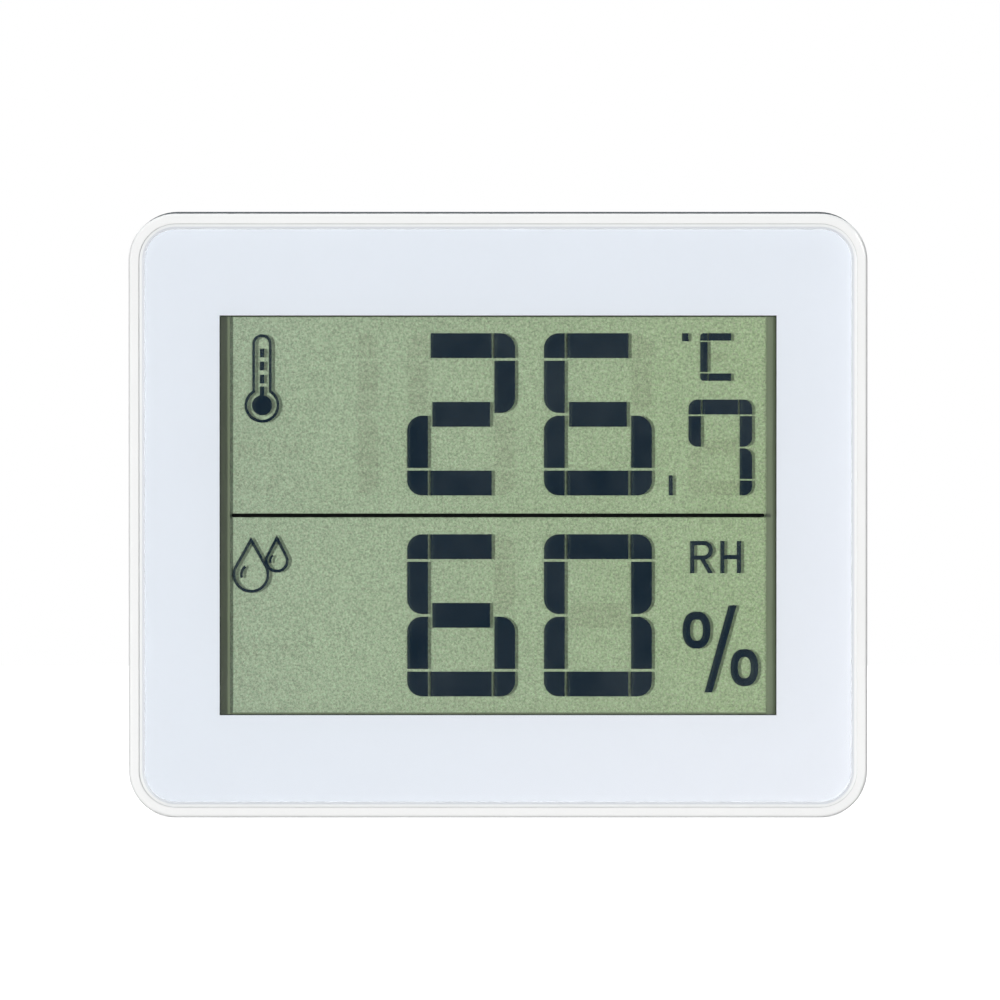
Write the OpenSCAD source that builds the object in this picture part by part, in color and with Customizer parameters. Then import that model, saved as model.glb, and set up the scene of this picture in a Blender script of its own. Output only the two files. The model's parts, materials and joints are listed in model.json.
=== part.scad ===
// Digital temperature and humidity sensor: a flat white case with a large segment display in front,
// two AAA cells behind a sliding door, a fold-out stand and a keyhole for a wall screw.
// X runs to the right as seen from the front, Y from the front to the back, Z up.
// The origin is under the middle of the case, on the surface that it stands on.

/* [Case] */
// Width of the case
case_w = 110; // [108:1:130]
// Height of the case
case_h = 90; // [90:1:110]
// Depth of the case, front to back
case_d = 20; // [20:0.5:28]
// Radius of the case's corners, seen from the front
corner_r = 7; // [6:0.5:9]
// Rounding of the front edge
front_round = 0.4; // [0.4:0.1:1.3]
// Rounding of the back edge
back_round = 2.5; // [1:0.1:2.5]
// Wall thickness of both shells
wall = 1.8; // [1.6:0.1:2]
// Depth of the front shell, from the front to the parting line
front_depth = 9; // [8.8:0.1:10]
// Gap that shows between the two shells
part_gap = 0.3; // [0.2:0.05:0.5]
// Overlap of the shells behind that gap
lap = 1.2; // [0.8:0.1:1.8]

/* [Front panel] */
// Width of the rim round the panel
rim = 1.5; // [1.3:0.1:2]
// Distance of the panel behind the rim's front
panel_set = 0.2; // [0.1:0.05:0.4]
// Thickness of the clear panel
panel_t = 1.4; // [1.2:0.1:1.6]
// Chamfer round the panel
panel_chamfer = 0.45; // [0.2:0.05:0.6]
// Width of the window in the panel's white print
window_w = 83; // [81:0.5:84]
// Height of that window
window_h = 59.6; // [59.2:0.2:60.6]
// Thickness of the shelf that carries the panel
shelf_t = 1; // [0.8:0.1:1.2]

/* [Display] */
// Width of the display's clear area
view_w = 80; // [78:0.5:80.5]
// Height of the display's clear area
view_h = 59; // [58:0.5:59.5]
// Width of the display's two glasses
glass_w = 92; // [90:0.5:92]
// Height of the rear glass
glass_h = 66; // [65.5:0.5:66]
// Height of the contact ledge on the front glass
ledge_h = 3; // [2.8:0.1:3]
// Thickness of each glass
glass_t = 1.1; // [0.7:0.1:1.1]
// Thickness of the liquid crystal cell
cell_gap = 0.1; // [0.05:0.01:0.12]
// Thickness of each polarizing film
film_t = 0.2; // [0.1:0.05:0.2]

/* [Numerals] */
// Width of a large numeral
digit_w = 16.1; // [14:0.1:17]
// Height of a large numeral
digit_h = 24.2; // [20:0.1:25]
// Width of a large numeral's uprights
digit_upright = 3.1; // [2:0.05:3.6]
// Height of a large numeral's bars
digit_bar = 3.7; // [2.4:0.05:4]
// Distance between neighbouring large numerals
digit_pitch = 20.4; // [18:0.1:21]
// Width of the small numeral
small_w = 9.5; // [8:0.5:10.5]
// Height of the small numeral
small_h = 14.3; // [12:0.1:15]
// Gap between the pieces of a numeral
piece_gap = 0.4; // [0.2:0.05:0.6]
// Thickness of the line between the two readings
divider_t = 0.55; // [0.3:0.05:1]

/* [Batteries] */
// Diameter of a cell
cell_d = 10.5; // [10:0.1:10.5]
// Length of a cell, with its nub
cell_l = 44.5; // [43:0.5:44.5]
// Room for each cell's spring
spring_room = 6.2; // [5:0.1:7]
// Thickness of the walls of the battery bay
bay_wall = 1.2; // [1:0.1:1.4]
// Distance from the inside of the case to the side of the battery bay
bay_offset = 9.2; // [9:0.1:9.6]
// Height of the battery bay above the surface that the case stands on
bay_z0 = 9.5; // [9:0.1:10]
// Gap round the battery door
door_gap = 0.15; // [0.1:0.05:0.25]

/* [Stand] */
// Width of the stand
stand_w = 33.4; // [24:0.2:33.4]
// Thickness of the stand
stand_t = 2.4; // [2:0.1:2.6]
// Height of the stand's hinge
hinge_z = 57.5; // [45:0.5:62]
// Radius of the stand's pivots
pivot_r = 1; // [0.8:0.05:1.1]
// Gap round the stand
stand_gap = 0.3; // [0.25:0.05:0.5]

/* [Back] */
// Radius of the keyhole's entry
keyhole_r = 4; // [3.5:0.1:4.5]
// Half the width of the keyhole's slot
keyslot_r = 2; // [1.5:0.1:2.4]
// Height of the keyhole's entry
keyhole_z = 72; // [70:0.5:74]
// Depth of the room for the wall screw's head, behind the keyhole
head_room = 5; // [4.2:0.1:5]
// Radius of the unit button
button_r = 2.9; // [2.2:0.1:3.2]
// Height of the unit button
button_z = 72; // [70:0.5:76]
// Width of an air slot
vent_w = 1.6; // [1:0.1:2]
// Length of an air slot
vent_h = 28; // [20:1:32]
// Number of air slots in the back
vent_count = 6; // [3:1:6]

/* [Hidden] */
$fn = 48;

// Planes of the case, from front to back
y_front = -case_d / 2;
y_back = case_d / 2;
y_part = y_front + front_depth;
mid_z = case_h / 2;

// Stack of the panel, from front to back
print_t = 0.1;
tape_t = 0.15;
panel_gap = 0.1;
panel_w = case_w - 2 * rim - 2 * panel_gap;
panel_h = case_h - 2 * rim - 2 * panel_gap;
y_panel = y_front + panel_set;
y_print = y_panel + panel_t;
y_tape = y_print + print_t;
y_shelf = y_tape + tape_t;
tape_w = 1.8;
tape_show = 0.15;
shelf_open_w = window_w + 2;
shelf_open_h = window_h + 1.6;

// Stack of the display, from front to back, inside its carrier
display_play = 0.05;
y_inner = y_shelf + shelf_t;
y_film = y_inner + display_play;
y_glass = y_film + film_t;
y_cell = y_glass + glass_t;
y_rear_glass = y_cell + cell_gap;
y_reflector = y_rear_glass + glass_t;
y_web = y_reflector + film_t;
film_w = glass_w - 4;
film_h = glass_h - 3;
carrier_gap = 0.2;
carrier_wall = 1.4;
web_t = 1.4;
web_edge = 4;
pad_t = 0.4;
ring_w = glass_w + 2 * carrier_gap;
ring_bottom = mid_z - glass_h / 2 - carrier_gap;
ring_top = mid_z + glass_h / 2 + ledge_h + carrier_gap;
carrier_w = ring_w + 2 * carrier_wall;
carrier_bottom = ring_bottom - carrier_wall;
carrier_top = ring_top + carrier_wall;
zebra_w = glass_w - 8;
zebra_gap = 0.2;

// Main board, behind the carrier
board_t = 1.2;
y_board = y_web + web_t + pad_t;
y_board_back = y_board + board_t;
board_leg_w = 20;
board_leg_z = 34;

// Bosses and screws
boss_r = 2.7;
cover_boss_r = 3.4;
boss_in_x = 6.2;
boss_in_z = 5.8;
boss_x = case_w / 2 - boss_in_x;
boss_z = [boss_in_z, case_h - boss_in_z];
case_screw_r = 1;
case_head_r = 2.1;
case_head_h = 1.5;
head_clear = 0.3;
screw_floor = 3;
small_boss_r = 1.8;
small_screw_r = 0.65;
small_head_r = 1.45;
small_head_h = 0.9;
hole_clear = 0.1;
ear_r = 2;
boss_gap = 0.2;
top_screw_z = carrier_top + boss_gap + small_boss_r;
bottom_screw_z = carrier_bottom - boss_gap - small_boss_r;
board_in = 1.4;
board_half = boss_x - boss_r - board_in;
board_top = top_screw_z + ear_r;
top_screw_in = 4;
top_screw_x = [board_half - top_screw_in, board_half / 3.2];
bottom_screw_x = [-30, 12];

// Battery bay, door and rails, at the right as seen from the front
cell_r = cell_d / 2;
cell_clear = 0.4;
back_t = wall;
y_skin = y_back - back_t;
cell_behind = 0.55;
cell_before = 0.25;
y_axis = y_skin - cell_behind - cell_r;
y_bay = y_axis - cell_r - cell_before;
contact_t = 0.4;
bay_w = 2 * cell_d + 3 * cell_clear;
bay_x1 = case_w / 2 - wall - bay_offset;
bay_x0 = bay_x1 - bay_w;
bay_z1 = bay_z0 + cell_l + spring_room + 2 * contact_t;
bay_top = bay_z1 + bay_wall;
cell_x = [bay_x0 + cell_clear + cell_r, bay_x1 - cell_clear - cell_r];
door_over = 0.8;
door_x0 = bay_x0 - door_over;
door_x1 = bay_x1 + door_over;
door_under = 0.2;
door_z1 = bay_top - door_under;
door_rest = 0.05;
tongue = 0.8;
tongue_t = 0.9;
rail_w = 1.8;
seat_t = 1.2;
board_over_bay = 1;
board_bottom = bay_top + board_over_bay;
low_screw_share = 0.86;
board_low_z = board_bottom + ear_r;
board_low_x = [-low_screw_share * board_half, low_screw_share * board_half];

// Stand, its pocket and its hinge
y_hinge = y_back - 0.1 - stand_t / 2;
pocket_w = stand_w + 2 * stand_gap;
stand_beside = 4;
stand_x = min(0, door_x0 - stand_beside - pocket_w / 2);
pocket_z0 = 4;
over_hinge = 1.8;
pocket_z1 = hinge_z + stand_t / 2 + over_hinge;
pocket_deep = stand_t + 1;
pocket_wall = 1.4;
pivot_l = 1.5;
pivot_clear = 0.05;
lug_w = 3;
stand_foot_z = pocket_z0 + stand_gap;
finger_r = 7;

// Keyhole for a wall screw, with a closed room for the screw's head
keyslot_z = keyhole_z + keyhole_r + keyslot_r;
head_side = 0.2;
head_wall = 1.2;
head_half = keyhole_r + head_side;
head_z0 = keyhole_z - head_half;
head_z1 = keyslot_z + head_half;

// Unit button over its switch on the main board
button_in = 25;
button_x = button_in - case_w / 2;
button_clear = 0.2;
button_out = 0.2;
flange_r = button_r + 1;
flange_t = 0.9;
guide_l = 2.7;
guide_wall = 1.1;
switch_w = 6;
switch_h = 3.5;
plunger_r = 1.7;
plunger_out = 0.8;
plunger_deep = 2.2;
y_plunger = y_board_back + switch_h + plunger_out;
y_guide = y_skin - guide_l;

// Air slots at the left as seen from the front
vent_in = 7;
vent_beside = 11;
vent_x0 = vent_in - case_w / 2;
vent_x1 = stand_x - pocket_w / 2 - vent_beside;
vent_pitch = (vent_x1 - vent_x0) / (vent_count - 1);
vent_z = 36;
side_vents = 5;
side_pitch = 6;
side_vent_d = 5;

// Solids between two corner points
module block(a, b) {
    translate(a) cube(b - a);
}

// A rod along Y from y0 to y1 at a place seen from the front
module rod(x, z, r, y0, y1) {
    translate([x, y1, z]) rotate([90, 0, 0]) cylinder(r = r, h = y1 - y0);
}

// Rectangle with four round corners
module round_rect(w, h, r) {
    square([w - 2 * r, h], center = true);
    square([w, h - 2 * r], center = true);
    for (sx = [-1, 1], sz = [-1, 1]) translate([sx * (w / 2 - r), sz * (h / 2 - r)]) circle(r);
}

// A flat drawing, seen from the front and centred on the display, made t thick from y0 backwards
module layer(y0, t) {
    translate([0, y0 + t, mid_z]) rotate([90, 0, 0]) linear_extrude(t) children();
}

// Half a plate's cross-section: reach wide and d deep, its front corner rounded or cut off by e
module edge_profile(reach, d, e, chamfer) {
    translate([0, e]) square([reach, d - e]);
    square([reach - e, d]);
    if (chamfer)
        polygon([[0, 0], [reach - e, 0], [reach, e], [0, e]]);
    else
        translate([reach - e, e]) circle(e);
}

// A plate with round corners whose edge towards -Y is rounded or chamfered
module edged_plate(w, h, r, d, e, chamfer = false) {
    for (sx = [-1, 1], sz = [-1, 1])
        translate([sx * (w / 2 - r), 0, sz * (h / 2 - r)])
            rotate([-90, 0, 0]) rotate_extrude() edge_profile(r, d, e, chamfer);
    for (side = [0, 1]) mirror([side, 0, 0])
        linear_extrude(h - 2 * r, center = true) edge_profile(w / 2, d, e, chamfer);
    for (side = [0, 1]) mirror([0, 0, side]) rotate([0, -90, 0])
        linear_extrude(w - 2 * r, center = true) edge_profile(h / 2, d, e, chamfer);
}

// Places of the four screws that join the shells
module at_bosses() {
    for (sx = [-1, 1], z = boss_z) translate([sx * boss_x, 0, z]) children();
}

// Places of the screws along the top of the board
module at_top_screws() {
    for (sx = [-1, 1], x = top_screw_x) translate([sx * x, 0, top_screw_z]) children();
}

// Places of the screws under the display carrier
module at_bottom_screws() {
    for (x = bottom_screw_x) translate([x, 0, bottom_screw_z]) children();
}

// Places of the screws along the bottom of the board
module at_low_screws() {
    for (x = board_low_x) translate([x, 0, board_low_z]) children();
}

// Screw along -Y whose pan head sits on y_seat, with a cross recess
module pan_screw(y_seat, length, shank_r, head_r, head_h) {
    slot_w = head_r * 0.3;
    difference() {
        rod(0, 0, head_r, y_seat, y_seat + head_h);
        for (turn = [0, 90]) rotate([0, turn, 0])
            translate([-head_r * 0.65, y_seat + head_h / 2, -slot_w / 2])
                cube([head_r * 1.3, head_h, slot_w]);
    }
    rod(0, 0, shank_r, y_seat - length, y_seat);
}

module front_frame() {
    color("whitesmoke") {
        difference() {
            translate([0, y_front, mid_z])
                edged_plate(case_w, case_h, corner_r, front_depth, front_round);
            layer(y_front - 1, y_shelf - y_front + 1)
                round_rect(case_w - 2 * rim, case_h - 2 * rim, corner_r - rim);
            layer(y_front, front_depth) square([shelf_open_w, shelf_open_h], center = true);
            layer(y_inner, front_depth) round_rect(case_w - 2 * wall, case_h - 2 * wall, corner_r - wall);
        }
        difference() {
            layer(y_part - 1, lap + 1) round_rect(case_w - wall, case_h - wall, corner_r - wall / 2);
            layer(y_part - 2, lap + 3) round_rect(case_w - 2 * wall, case_h - 2 * wall, corner_r - wall);
        }
        at_bosses() difference() {
            rod(0, 0, boss_r, y_inner, y_part);
            rod(0, 0, case_screw_r, y_inner + 1, y_part + 1);
        }
        at_top_screws() small_boss();
        at_bottom_screws() small_boss();
    }
}

// Short screw boss that ends at the carrier's web
module small_boss() {
    difference() {
        rod(0, 0, small_boss_r, y_inner, y_web);
        rod(0, 0, small_screw_r, y_inner + 0.6, y_web + 1);
    }
}

module window_panel() {
    color("azure", 0.4) translate([0, y_panel, mid_z])
        edged_plate(panel_w, panel_h, corner_r - rim - panel_gap, panel_t, panel_chamfer, chamfer = true);
}

module panel_print() {
    inset = 0.2;
    color("white") layer(y_print, print_t) difference() {
        round_rect(panel_w - 2 * inset, panel_h - 2 * inset, corner_r - rim - panel_gap - inset);
        square([window_w, window_h], center = true);
    }
}

module divider_print() {
    reach = view_w / 2 - 0.3;
    color("black") layer(y_print, print_t) {
        square([2 * reach - divider_t, divider_t], center = true);
        for (sx = [-1, 1]) translate([sx * (reach - divider_t / 2), 0]) circle(divider_t / 2);
    }
}

module panel_tape() {
    open_w = window_w - 2 * tape_show;
    open_h = window_h - 2 * tape_show;
    color("dimgray") layer(y_tape, tape_t) difference() {
        square([window_w + 2 * tape_w, window_h + 2 * tape_w], center = true);
        square([open_w, open_h], center = true);
    }
}

module display_front_polarizer() {
    color("darkseagreen", 0.3) layer(y_film, film_t) square([film_w, film_h], center = true);
}

module display_front_glass() {
    color("lightcyan", 0.3) layer(y_glass, glass_t)
        translate([-glass_w / 2, -glass_h / 2]) square([glass_w, glass_h + ledge_h]);
}

module display_rear_glass() {
    color("lightcyan", 0.3) layer(y_rear_glass, glass_t) square([glass_w, glass_h], center = true);
}

module display_reflector() {
    color("darkseagreen") layer(y_reflector, film_t) square([film_w, film_h], center = true);
}

module display_seal() {
    color("darkolivegreen") layer(y_cell, cell_gap) difference() {
        square([glass_w, glass_h], center = true);
        square([view_w, view_h], center = true);
    }
}

// Rectangle from the origin towards the signs of sx and sy, with its far corner rounded
module nib(w, h, r, sx, sy) {
    mirror([sx < 0 ? 1 : 0, 0]) mirror([0, sy < 0 ? 1 : 0]) {
        square([w, h - r]);
        square([w - r, h]);
        intersection() {
            square([w, h]);
            translate([w - r, h - r]) circle(r);
        }
    }
}

// Names of a numeral's pieces: corners, uprights (U upper, D lower) and bars
CORNERS = [["TL", -1, 1], ["TR", 1, 1], ["BL", -1, -1], ["BR", 1, -1]];
UPRIGHTS = [["UL", -1, 1], ["UR", 1, 1], ["DL", -1, -1], ["DR", 1, -1]];
ALL_PIECES = ["TL", "TR", "BL", "BR", "UL", "UR", "DL", "DR", "T", "M", "B"];
ZERO = ["TL", "TR", "BL", "BR", "UL", "UR", "DL", "DR", "T", "B"];
TWO = ["TR", "BL", "UR", "DL", "T", "M", "B"];
SIX = ["TL", "BL", "BR", "UL", "DL", "DR", "T", "M", "B"];
SEVEN = ["TL", "TR", "BR", "UL", "UR", "DR", "T"];
ONE = ["TR", "BR", "UR", "DR"];
function holds(list, name) = len([for (n = list) if (n == name) n]) > 0;
function without(list) = [for (n = ALL_PIECES) if (!holds(list, n)) n];

// The named pieces of a segment numeral
module numeral(w, h, upright, bar, gap, r, pieces) {
    inner_x = w / 2 - upright;
    inner_z = h / 2 - bar;
    upright_h = inner_z - gap - gap / 2;
    for (c = CORNERS) if (holds(pieces, c[0]))
        translate([c[1] * inner_x, c[2] * inner_z]) nib(upright, bar, r, c[1], c[2]);
    for (u = UPRIGHTS) if (holds(pieces, u[0]))
        translate([u[1] * inner_x, u[2] * (inner_z - gap)]) nib(upright, upright_h, r, u[1], -u[2]);
    for (end = [["T", 1], ["B", -1]]) if (holds(pieces, end[0]))
        translate([0, end[1] * (h - bar) / 2]) square([2 * (inner_x - gap), bar], center = true);
    if (holds(pieces, "M")) square([2 * (inner_x - 1.6 * gap), bar], center = true);
}

// Places of the numerals, from the middle of the display
row_z = 15;
digit_x = [-5.5, -5.5 + digit_pitch];
small_x = digit_x[1] + digit_w / 2 + 5.45 + small_w / 2;
round_share = 0.72;

module big_numeral(column, row, pieces) {
    x = digit_x[0] + column * digit_pitch;
    translate([x, row * row_z])
        numeral(digit_w, digit_h, digit_upright, digit_bar, piece_gap, round_share * digit_upright, pieces);
}

module small_numeral(pieces) {
    upright = 0.6 * digit_upright;
    translate([small_x, row_z - (digit_h - small_h) / 2])
        numeral(small_w, small_h, upright, 0.6 * digit_bar, 0.6 * piece_gap, round_share * upright, pieces);
}

module lit_digits() {
    color("darkslategray") layer(y_cell, cell_gap) {
        big_numeral(0, 1, TWO);
        big_numeral(1, 1, SIX);
        small_numeral(SEVEN);
        big_numeral(0, -1, SIX);
        big_numeral(1, -1, ZERO);
    }
}

// Points of an oval whose sides are flatter than an ellipse's
function oval(w, h, fullness) = [for (a = [0 : 10 : 350])
    [sign(cos(a)) * pow(abs(cos(a)), fullness) * w / 2, sign(sin(a)) * pow(abs(sin(a)), fullness) * h / 2]];

module percent_ring() {
    difference() {
        polygon(oval(4.15, 5.55, 0.86));
        polygon(oval(1.9, 3.2, 0.8));
    }
}

// Outline of a drop: a round body of radius r and a tip at height tip over its centre
function drop(r, tip) = let (touch = asin(r / tip)) concat([[0, tip]],
    [for (i = [0 : 24]) let (a = 180 - touch + i * (180 + 2 * touch) / 24) [r * cos(a), r * sin(a)]]);

module drop_ring(r, tip, stroke) {
    difference() {
        polygon(drop(r, tip));
        polygon(drop(r - stroke, tip - stroke / sin(asin(r / tip))));
    }
}

module arc_stroke(r, stroke, from, to) {
    steps = 8;
    polygon(concat(
        [for (i = [0 : steps]) let (a = from + i * (to - from) / steps) [r * cos(a), r * sin(a)]],
        [for (i = [steps : -1 : 0]) let (a = from + i * (to - from) / steps)
            [(r - stroke) * cos(a), (r - stroke) * sin(a)]]));
}

symbol_stroke = 0.42;
unit_w = 4.6;
unit_h = 7.1;
unit_x = small_x - 3 + unit_w / 2;
unit_z = row_z + digit_h / 2 - unit_h / 2;
unit_bar = 1.1;
icon_x = -view_w / 2 + 4.8;

module thermometer_icon() {
    tube_w = 2.9;
    bulb_r = 2.6;
    tube_top = 9.15;
    difference() {
        union() {
            circle(bulb_r);
            translate([-tube_w / 2, 0]) square([tube_w, tube_top]);
            translate([0, tube_top]) circle(tube_w / 2 - 0.001);
        }
        circle(bulb_r - symbol_stroke);
        translate([-tube_w / 2 + symbol_stroke, 0]) square([tube_w - 2 * symbol_stroke, tube_top]);
        translate([0, tube_top]) circle(tube_w / 2 - symbol_stroke - 0.001);
    }
    circle(1.5);
    translate([-0.32, 1]) square([0.64, 1.8]);
    for (tick = [0 : 2]) translate([-0.32, 3.25 + 1.95 * tick]) square([0.64, 1.3]);
}

module drops_icon() {
    small_at = [3.85, 2.05];
    drop_ring(2.74, 5.6, symbol_stroke);
    difference() {
        translate(small_at) drop_ring(1.77, 3.85, symbol_stroke);
        polygon(drop(2.74, 5.6));
    }
    arc_stroke(1.65, symbol_stroke, 125, 200);
    translate(small_at) arc_stroke(1.1, 0.3, 125, 200);
}

// Letters of the humidity unit, with the lower left corner at the origin
module letter_r(w, h, stroke) {
    bowl = h * 0.58;
    bowl_r = bowl / 2;
    square([stroke, h]);
    difference() {
        union() {
            translate([0, h - bowl]) square([w - bowl_r, bowl]);
            translate([w - bowl_r, h - bowl_r]) circle(bowl_r);
        }
        translate([stroke, h - bowl + stroke]) square([w - bowl_r - stroke, bowl - 2 * stroke]);
        translate([w - bowl_r, h - bowl_r]) circle(bowl_r - stroke);
    }
    polygon([[w * 0.45, h - bowl], [w * 0.45 + stroke * 1.1, h - bowl], [w, 0], [w - stroke * 1.15, 0]]);
}

module letter_h(w, h, stroke) {
    square([stroke, h]);
    translate([w - stroke, 0]) square([stroke, h]);
    translate([0, (h - stroke) / 2]) square([w, stroke]);
}

module unit_glyph(top) {
    inner_x = unit_w - unit_bar;
    for (sz = [-1, 1]) if (top) {
        translate([-unit_w / 2 + unit_bar, sz * (unit_h / 2 - unit_bar)])
            nib(unit_bar, unit_bar, 0.5, -1, sz);
        translate([-unit_w / 2 + unit_bar + 0.15, sz * (unit_h - unit_bar) / 2 - unit_bar / 2])
            square([inner_x - 0.15, unit_bar]);
    }
    if (top)
        translate([-unit_w / 2, -unit_h / 2 + unit_bar + 0.2])
            square([unit_bar, unit_h - 2 * unit_bar - 0.4]);
    else
        translate([-unit_w / 2 + unit_bar + 0.3, -unit_bar / 2]) square([inner_x - 0.8, unit_bar]);
}

module lit_symbols() {
    letter_z = -row_z + 6.3;
    letter_tall = 4.8;
    letter_bold = 0.62;
    percent_z = -row_z - 5;
    color("darkslategray") layer(y_cell, cell_gap) {
        translate([icon_x, row_z + 1.35]) thermometer_icon();
        translate([icon_x - 1.65, -row_z + 6.1]) drops_icon();
        translate([unit_x, unit_z]) unit_glyph(true);
        translate([small_x - 5.7, unit_z + unit_h / 2 - 1.2]) square([0.95, 1.2]);
        translate([digit_x[1] + digit_w / 2 + 2.5, row_z - digit_h / 2]) nib(0.6, 3, 0.3, 1, 1);
        translate([small_x - 4.5, letter_z]) letter_r(3.4, letter_tall, letter_bold);
        translate([small_x, letter_z]) letter_h(3.1, letter_tall, letter_bold);
        translate([small_x - 3.55, percent_z + 2.8]) percent_ring();
        translate([small_x + 3.6, percent_z - 2.8]) percent_ring();
        translate([small_x, percent_z])
            polygon([[-2.35, -6.5], [-1.2, -6.5], [2.45, 6.5], [1.25, 6.5]]);
    }
}

// Small capitals of the memory labels, with the lower left corner at the origin
module letter_m(w, h, stroke) {
    for (x = [0, w - stroke]) translate([x, 0]) square([stroke, h]);
    polygon([[0, h], [stroke, h], [w / 2, h * 0.45], [w - stroke, h], [w, h], [w / 2, h * 0.15]]);
}

module letter_a(w, h, stroke) {
    polygon([[0, 0], [(w - stroke) / 2, h], [(w + stroke) / 2, h], [w, 0], [w - stroke, 0],
        [w / 2, h - 1.5 * stroke], [stroke, 0]]);
    translate([w * 0.22, h * 0.22]) square([w * 0.56, stroke * 0.8]);
}

module letter_x(w, h, stroke) {
    polygon([[0, 0], [stroke, 0], [w, h], [w - stroke, h]]);
    polygon([[w - stroke, 0], [w, 0], [stroke, h], [0, h]]);
}

module letter_n(w, h, stroke) {
    for (x = [0, w - stroke]) translate([x, 0]) square([stroke, h]);
    polygon([[0, h], [stroke, h], [w, 0], [w - stroke, 0]]);
}

module memory_labels() {
    tall = 2.4;
    bold = 0.5;
    translate([0, 5]) {
        letter_m(2.8, tall, bold);
        translate([4.4, 0]) square([bold, tall]);
        translate([6.6, 0]) letter_n(2.3, tall, bold);
    }
    letter_m(2.8, tall, bold);
    translate([4.1, 0]) letter_a(2.4, tall, bold);
    translate([7.8, 0]) letter_x(2.4, tall, bold);
}

module idle_segments() {
    label_at = [-view_w / 2 + 1.2, -11.6];
    color("gray") layer(y_cell, cell_gap) {
        for (row = [-1, 1]) translate([0, row * row_z] + label_at) memory_labels();
        big_numeral(-1, 1, ONE);
        big_numeral(0, 1, without(TWO));
        big_numeral(1, 1, without(SIX));
        small_numeral(without(SEVEN));
        big_numeral(0, -1, without(SIX));
        big_numeral(1, -1, without(ZERO));
        translate([unit_x, unit_z]) unit_glyph(false);
    }
}

module display_carrier() {
    web_open_z0 = ring_bottom + web_edge;
    web_open_z1 = bay_top - 2;
    open_half = ring_w / 2 - web_edge;
    bay_cut = 0.6;
    color("gainsboro") difference() {
        union() {
            difference() {
                block([-carrier_w / 2, y_inner, carrier_bottom], [carrier_w / 2, y_web + web_t, carrier_top]);
                block([-ring_w / 2, y_inner - 1, ring_bottom], [ring_w / 2, y_web, ring_top]);
                block([-open_half, y_web - 1, web_open_z0], [open_half, y_board, web_open_z1]);
                block([bay_x0 - bay_wall - bay_cut, y_web - 0.01, carrier_bottom - 1],
                    [carrier_w / 2 + 1, y_board, bay_top + bay_cut]);
            }
            at_top_screws() {
                rod(0, 0, ear_r, y_web, y_board);
                block([-ear_r, y_web, carrier_top - top_screw_z - 1], [ear_r, y_web + web_t, 0]);
            }
            at_bottom_screws() {
                rod(0, 0, ear_r, y_web, y_web + web_t);
                block([-ear_r, y_web, 0], [ear_r, y_web + web_t, carrier_bottom + 1 - bottom_screw_z]);
            }
            at_low_screws() rod(0, 0, ear_r, y_web, y_board);
            block([-ring_w / 2, y_web, board_leg_z + 1], [-ring_w / 2 + web_edge, y_board, board_leg_z + 5]);
        }
        at_bosses() rod(0, 0, boss_r + 0.3, y_inner - 1, y_board + 1);
        at_top_screws() rod(0, 0, small_screw_r + hole_clear, y_web - 1, y_board + 1);
        at_bottom_screws() rod(0, 0, small_screw_r + hole_clear, y_web - 1, y_board + 1);
        at_low_screws() rod(0, 0, small_screw_r, y_web - 1, y_board + 1);
        block([-zebra_w / 2 - zebra_gap, y_web - 1, mid_z + glass_h / 2 + zebra_gap],
            [zebra_w / 2 + zebra_gap, y_board + 1, ring_top - zebra_gap]);
    }
}

module zebra_strip() {
    color("deeppink") block([-zebra_w / 2, y_cell, mid_z + glass_h / 2 + 2 * zebra_gap],
        [zebra_w / 2, y_board, ring_top - 2 * zebra_gap]);
}

module main_board() {
    color("seagreen") difference() {
        union() {
            block([-board_half, y_board, board_bottom], [board_half, y_board_back, board_top]);
            block([-board_half, y_board, board_leg_z],
                [board_leg_w - board_half, y_board_back, board_bottom + 1]);
        }
        at_top_screws() rod(0, 0, small_screw_r + hole_clear, y_board - 1, y_board_back + 1);
        at_low_screws() rod(0, 0, small_screw_r + hole_clear, y_board - 1, y_board_back + 1);
    }
}

module chip_blob() {
    blob_r = 5;
    blob_h = 1.6;
    ball_r = (blob_r * blob_r + blob_h * blob_h) / (2 * blob_h);
    color("#202020") translate([-8, y_board_back, (board_bottom + board_top) / 2]) intersection() {
        translate([0, blob_h - ball_r, 0]) rotate([-90, 0, 0]) sphere(ball_r);
        rod(0, 0, blob_r + 1, 0, blob_h + 1);
    }
}

module timing_crystal() {
    can_r = 1;
    can_l = 6;
    color("silver") translate([3, y_board_back + can_r, board_bottom + 6]) cylinder(r = can_r, h = can_l);
}

chip_pitch = 3;

module board_resistors() {
    chip = [1.6, 0.5, 0.8];
    x = 4 - board_half;
    z = board_leg_z + 18;
    color("#303030") for (i = [0 : 2], k = [0, 1])
        translate([x + chip_pitch * i, y_board_back, z + chip_pitch * k]) cube(chip);
}

module board_capacitors() {
    chip = [0.9, 0.9, 1.6];
    x = 8;
    z = board_bottom + 8;
    color("tan") for (i = [0 : 3]) translate([x + chip_pitch * i, y_board_back, z]) cube(chip);
}

module thermistor() {
    bead_r = 0.95;
    bead_t = 1.3;
    lead_r = 0.25;
    lead_gap = 0.5;
    foot_h = 1.2;
    foot_z = board_leg_z + 1;
    bead_z = board_leg_z - 3.5;
    x = board_leg_w / 2 - board_half - 5;
    y = y_board_back + bead_r;
    color("#3a2f28") rod(x, bead_z, bead_r, y - bead_t / 2, y + bead_t / 2);
    color("silver") for (side = [-1, 1]) {
        translate([x + side * lead_gap, y, bead_z]) cylinder(r = lead_r, h = foot_z + foot_h / 2 - bead_z);
        block([x + side * lead_gap - 0.4, y_board_back, foot_z],
            [x + side * lead_gap + 0.4, y + bead_r / 2, foot_z + foot_h]);
    }
}

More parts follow.
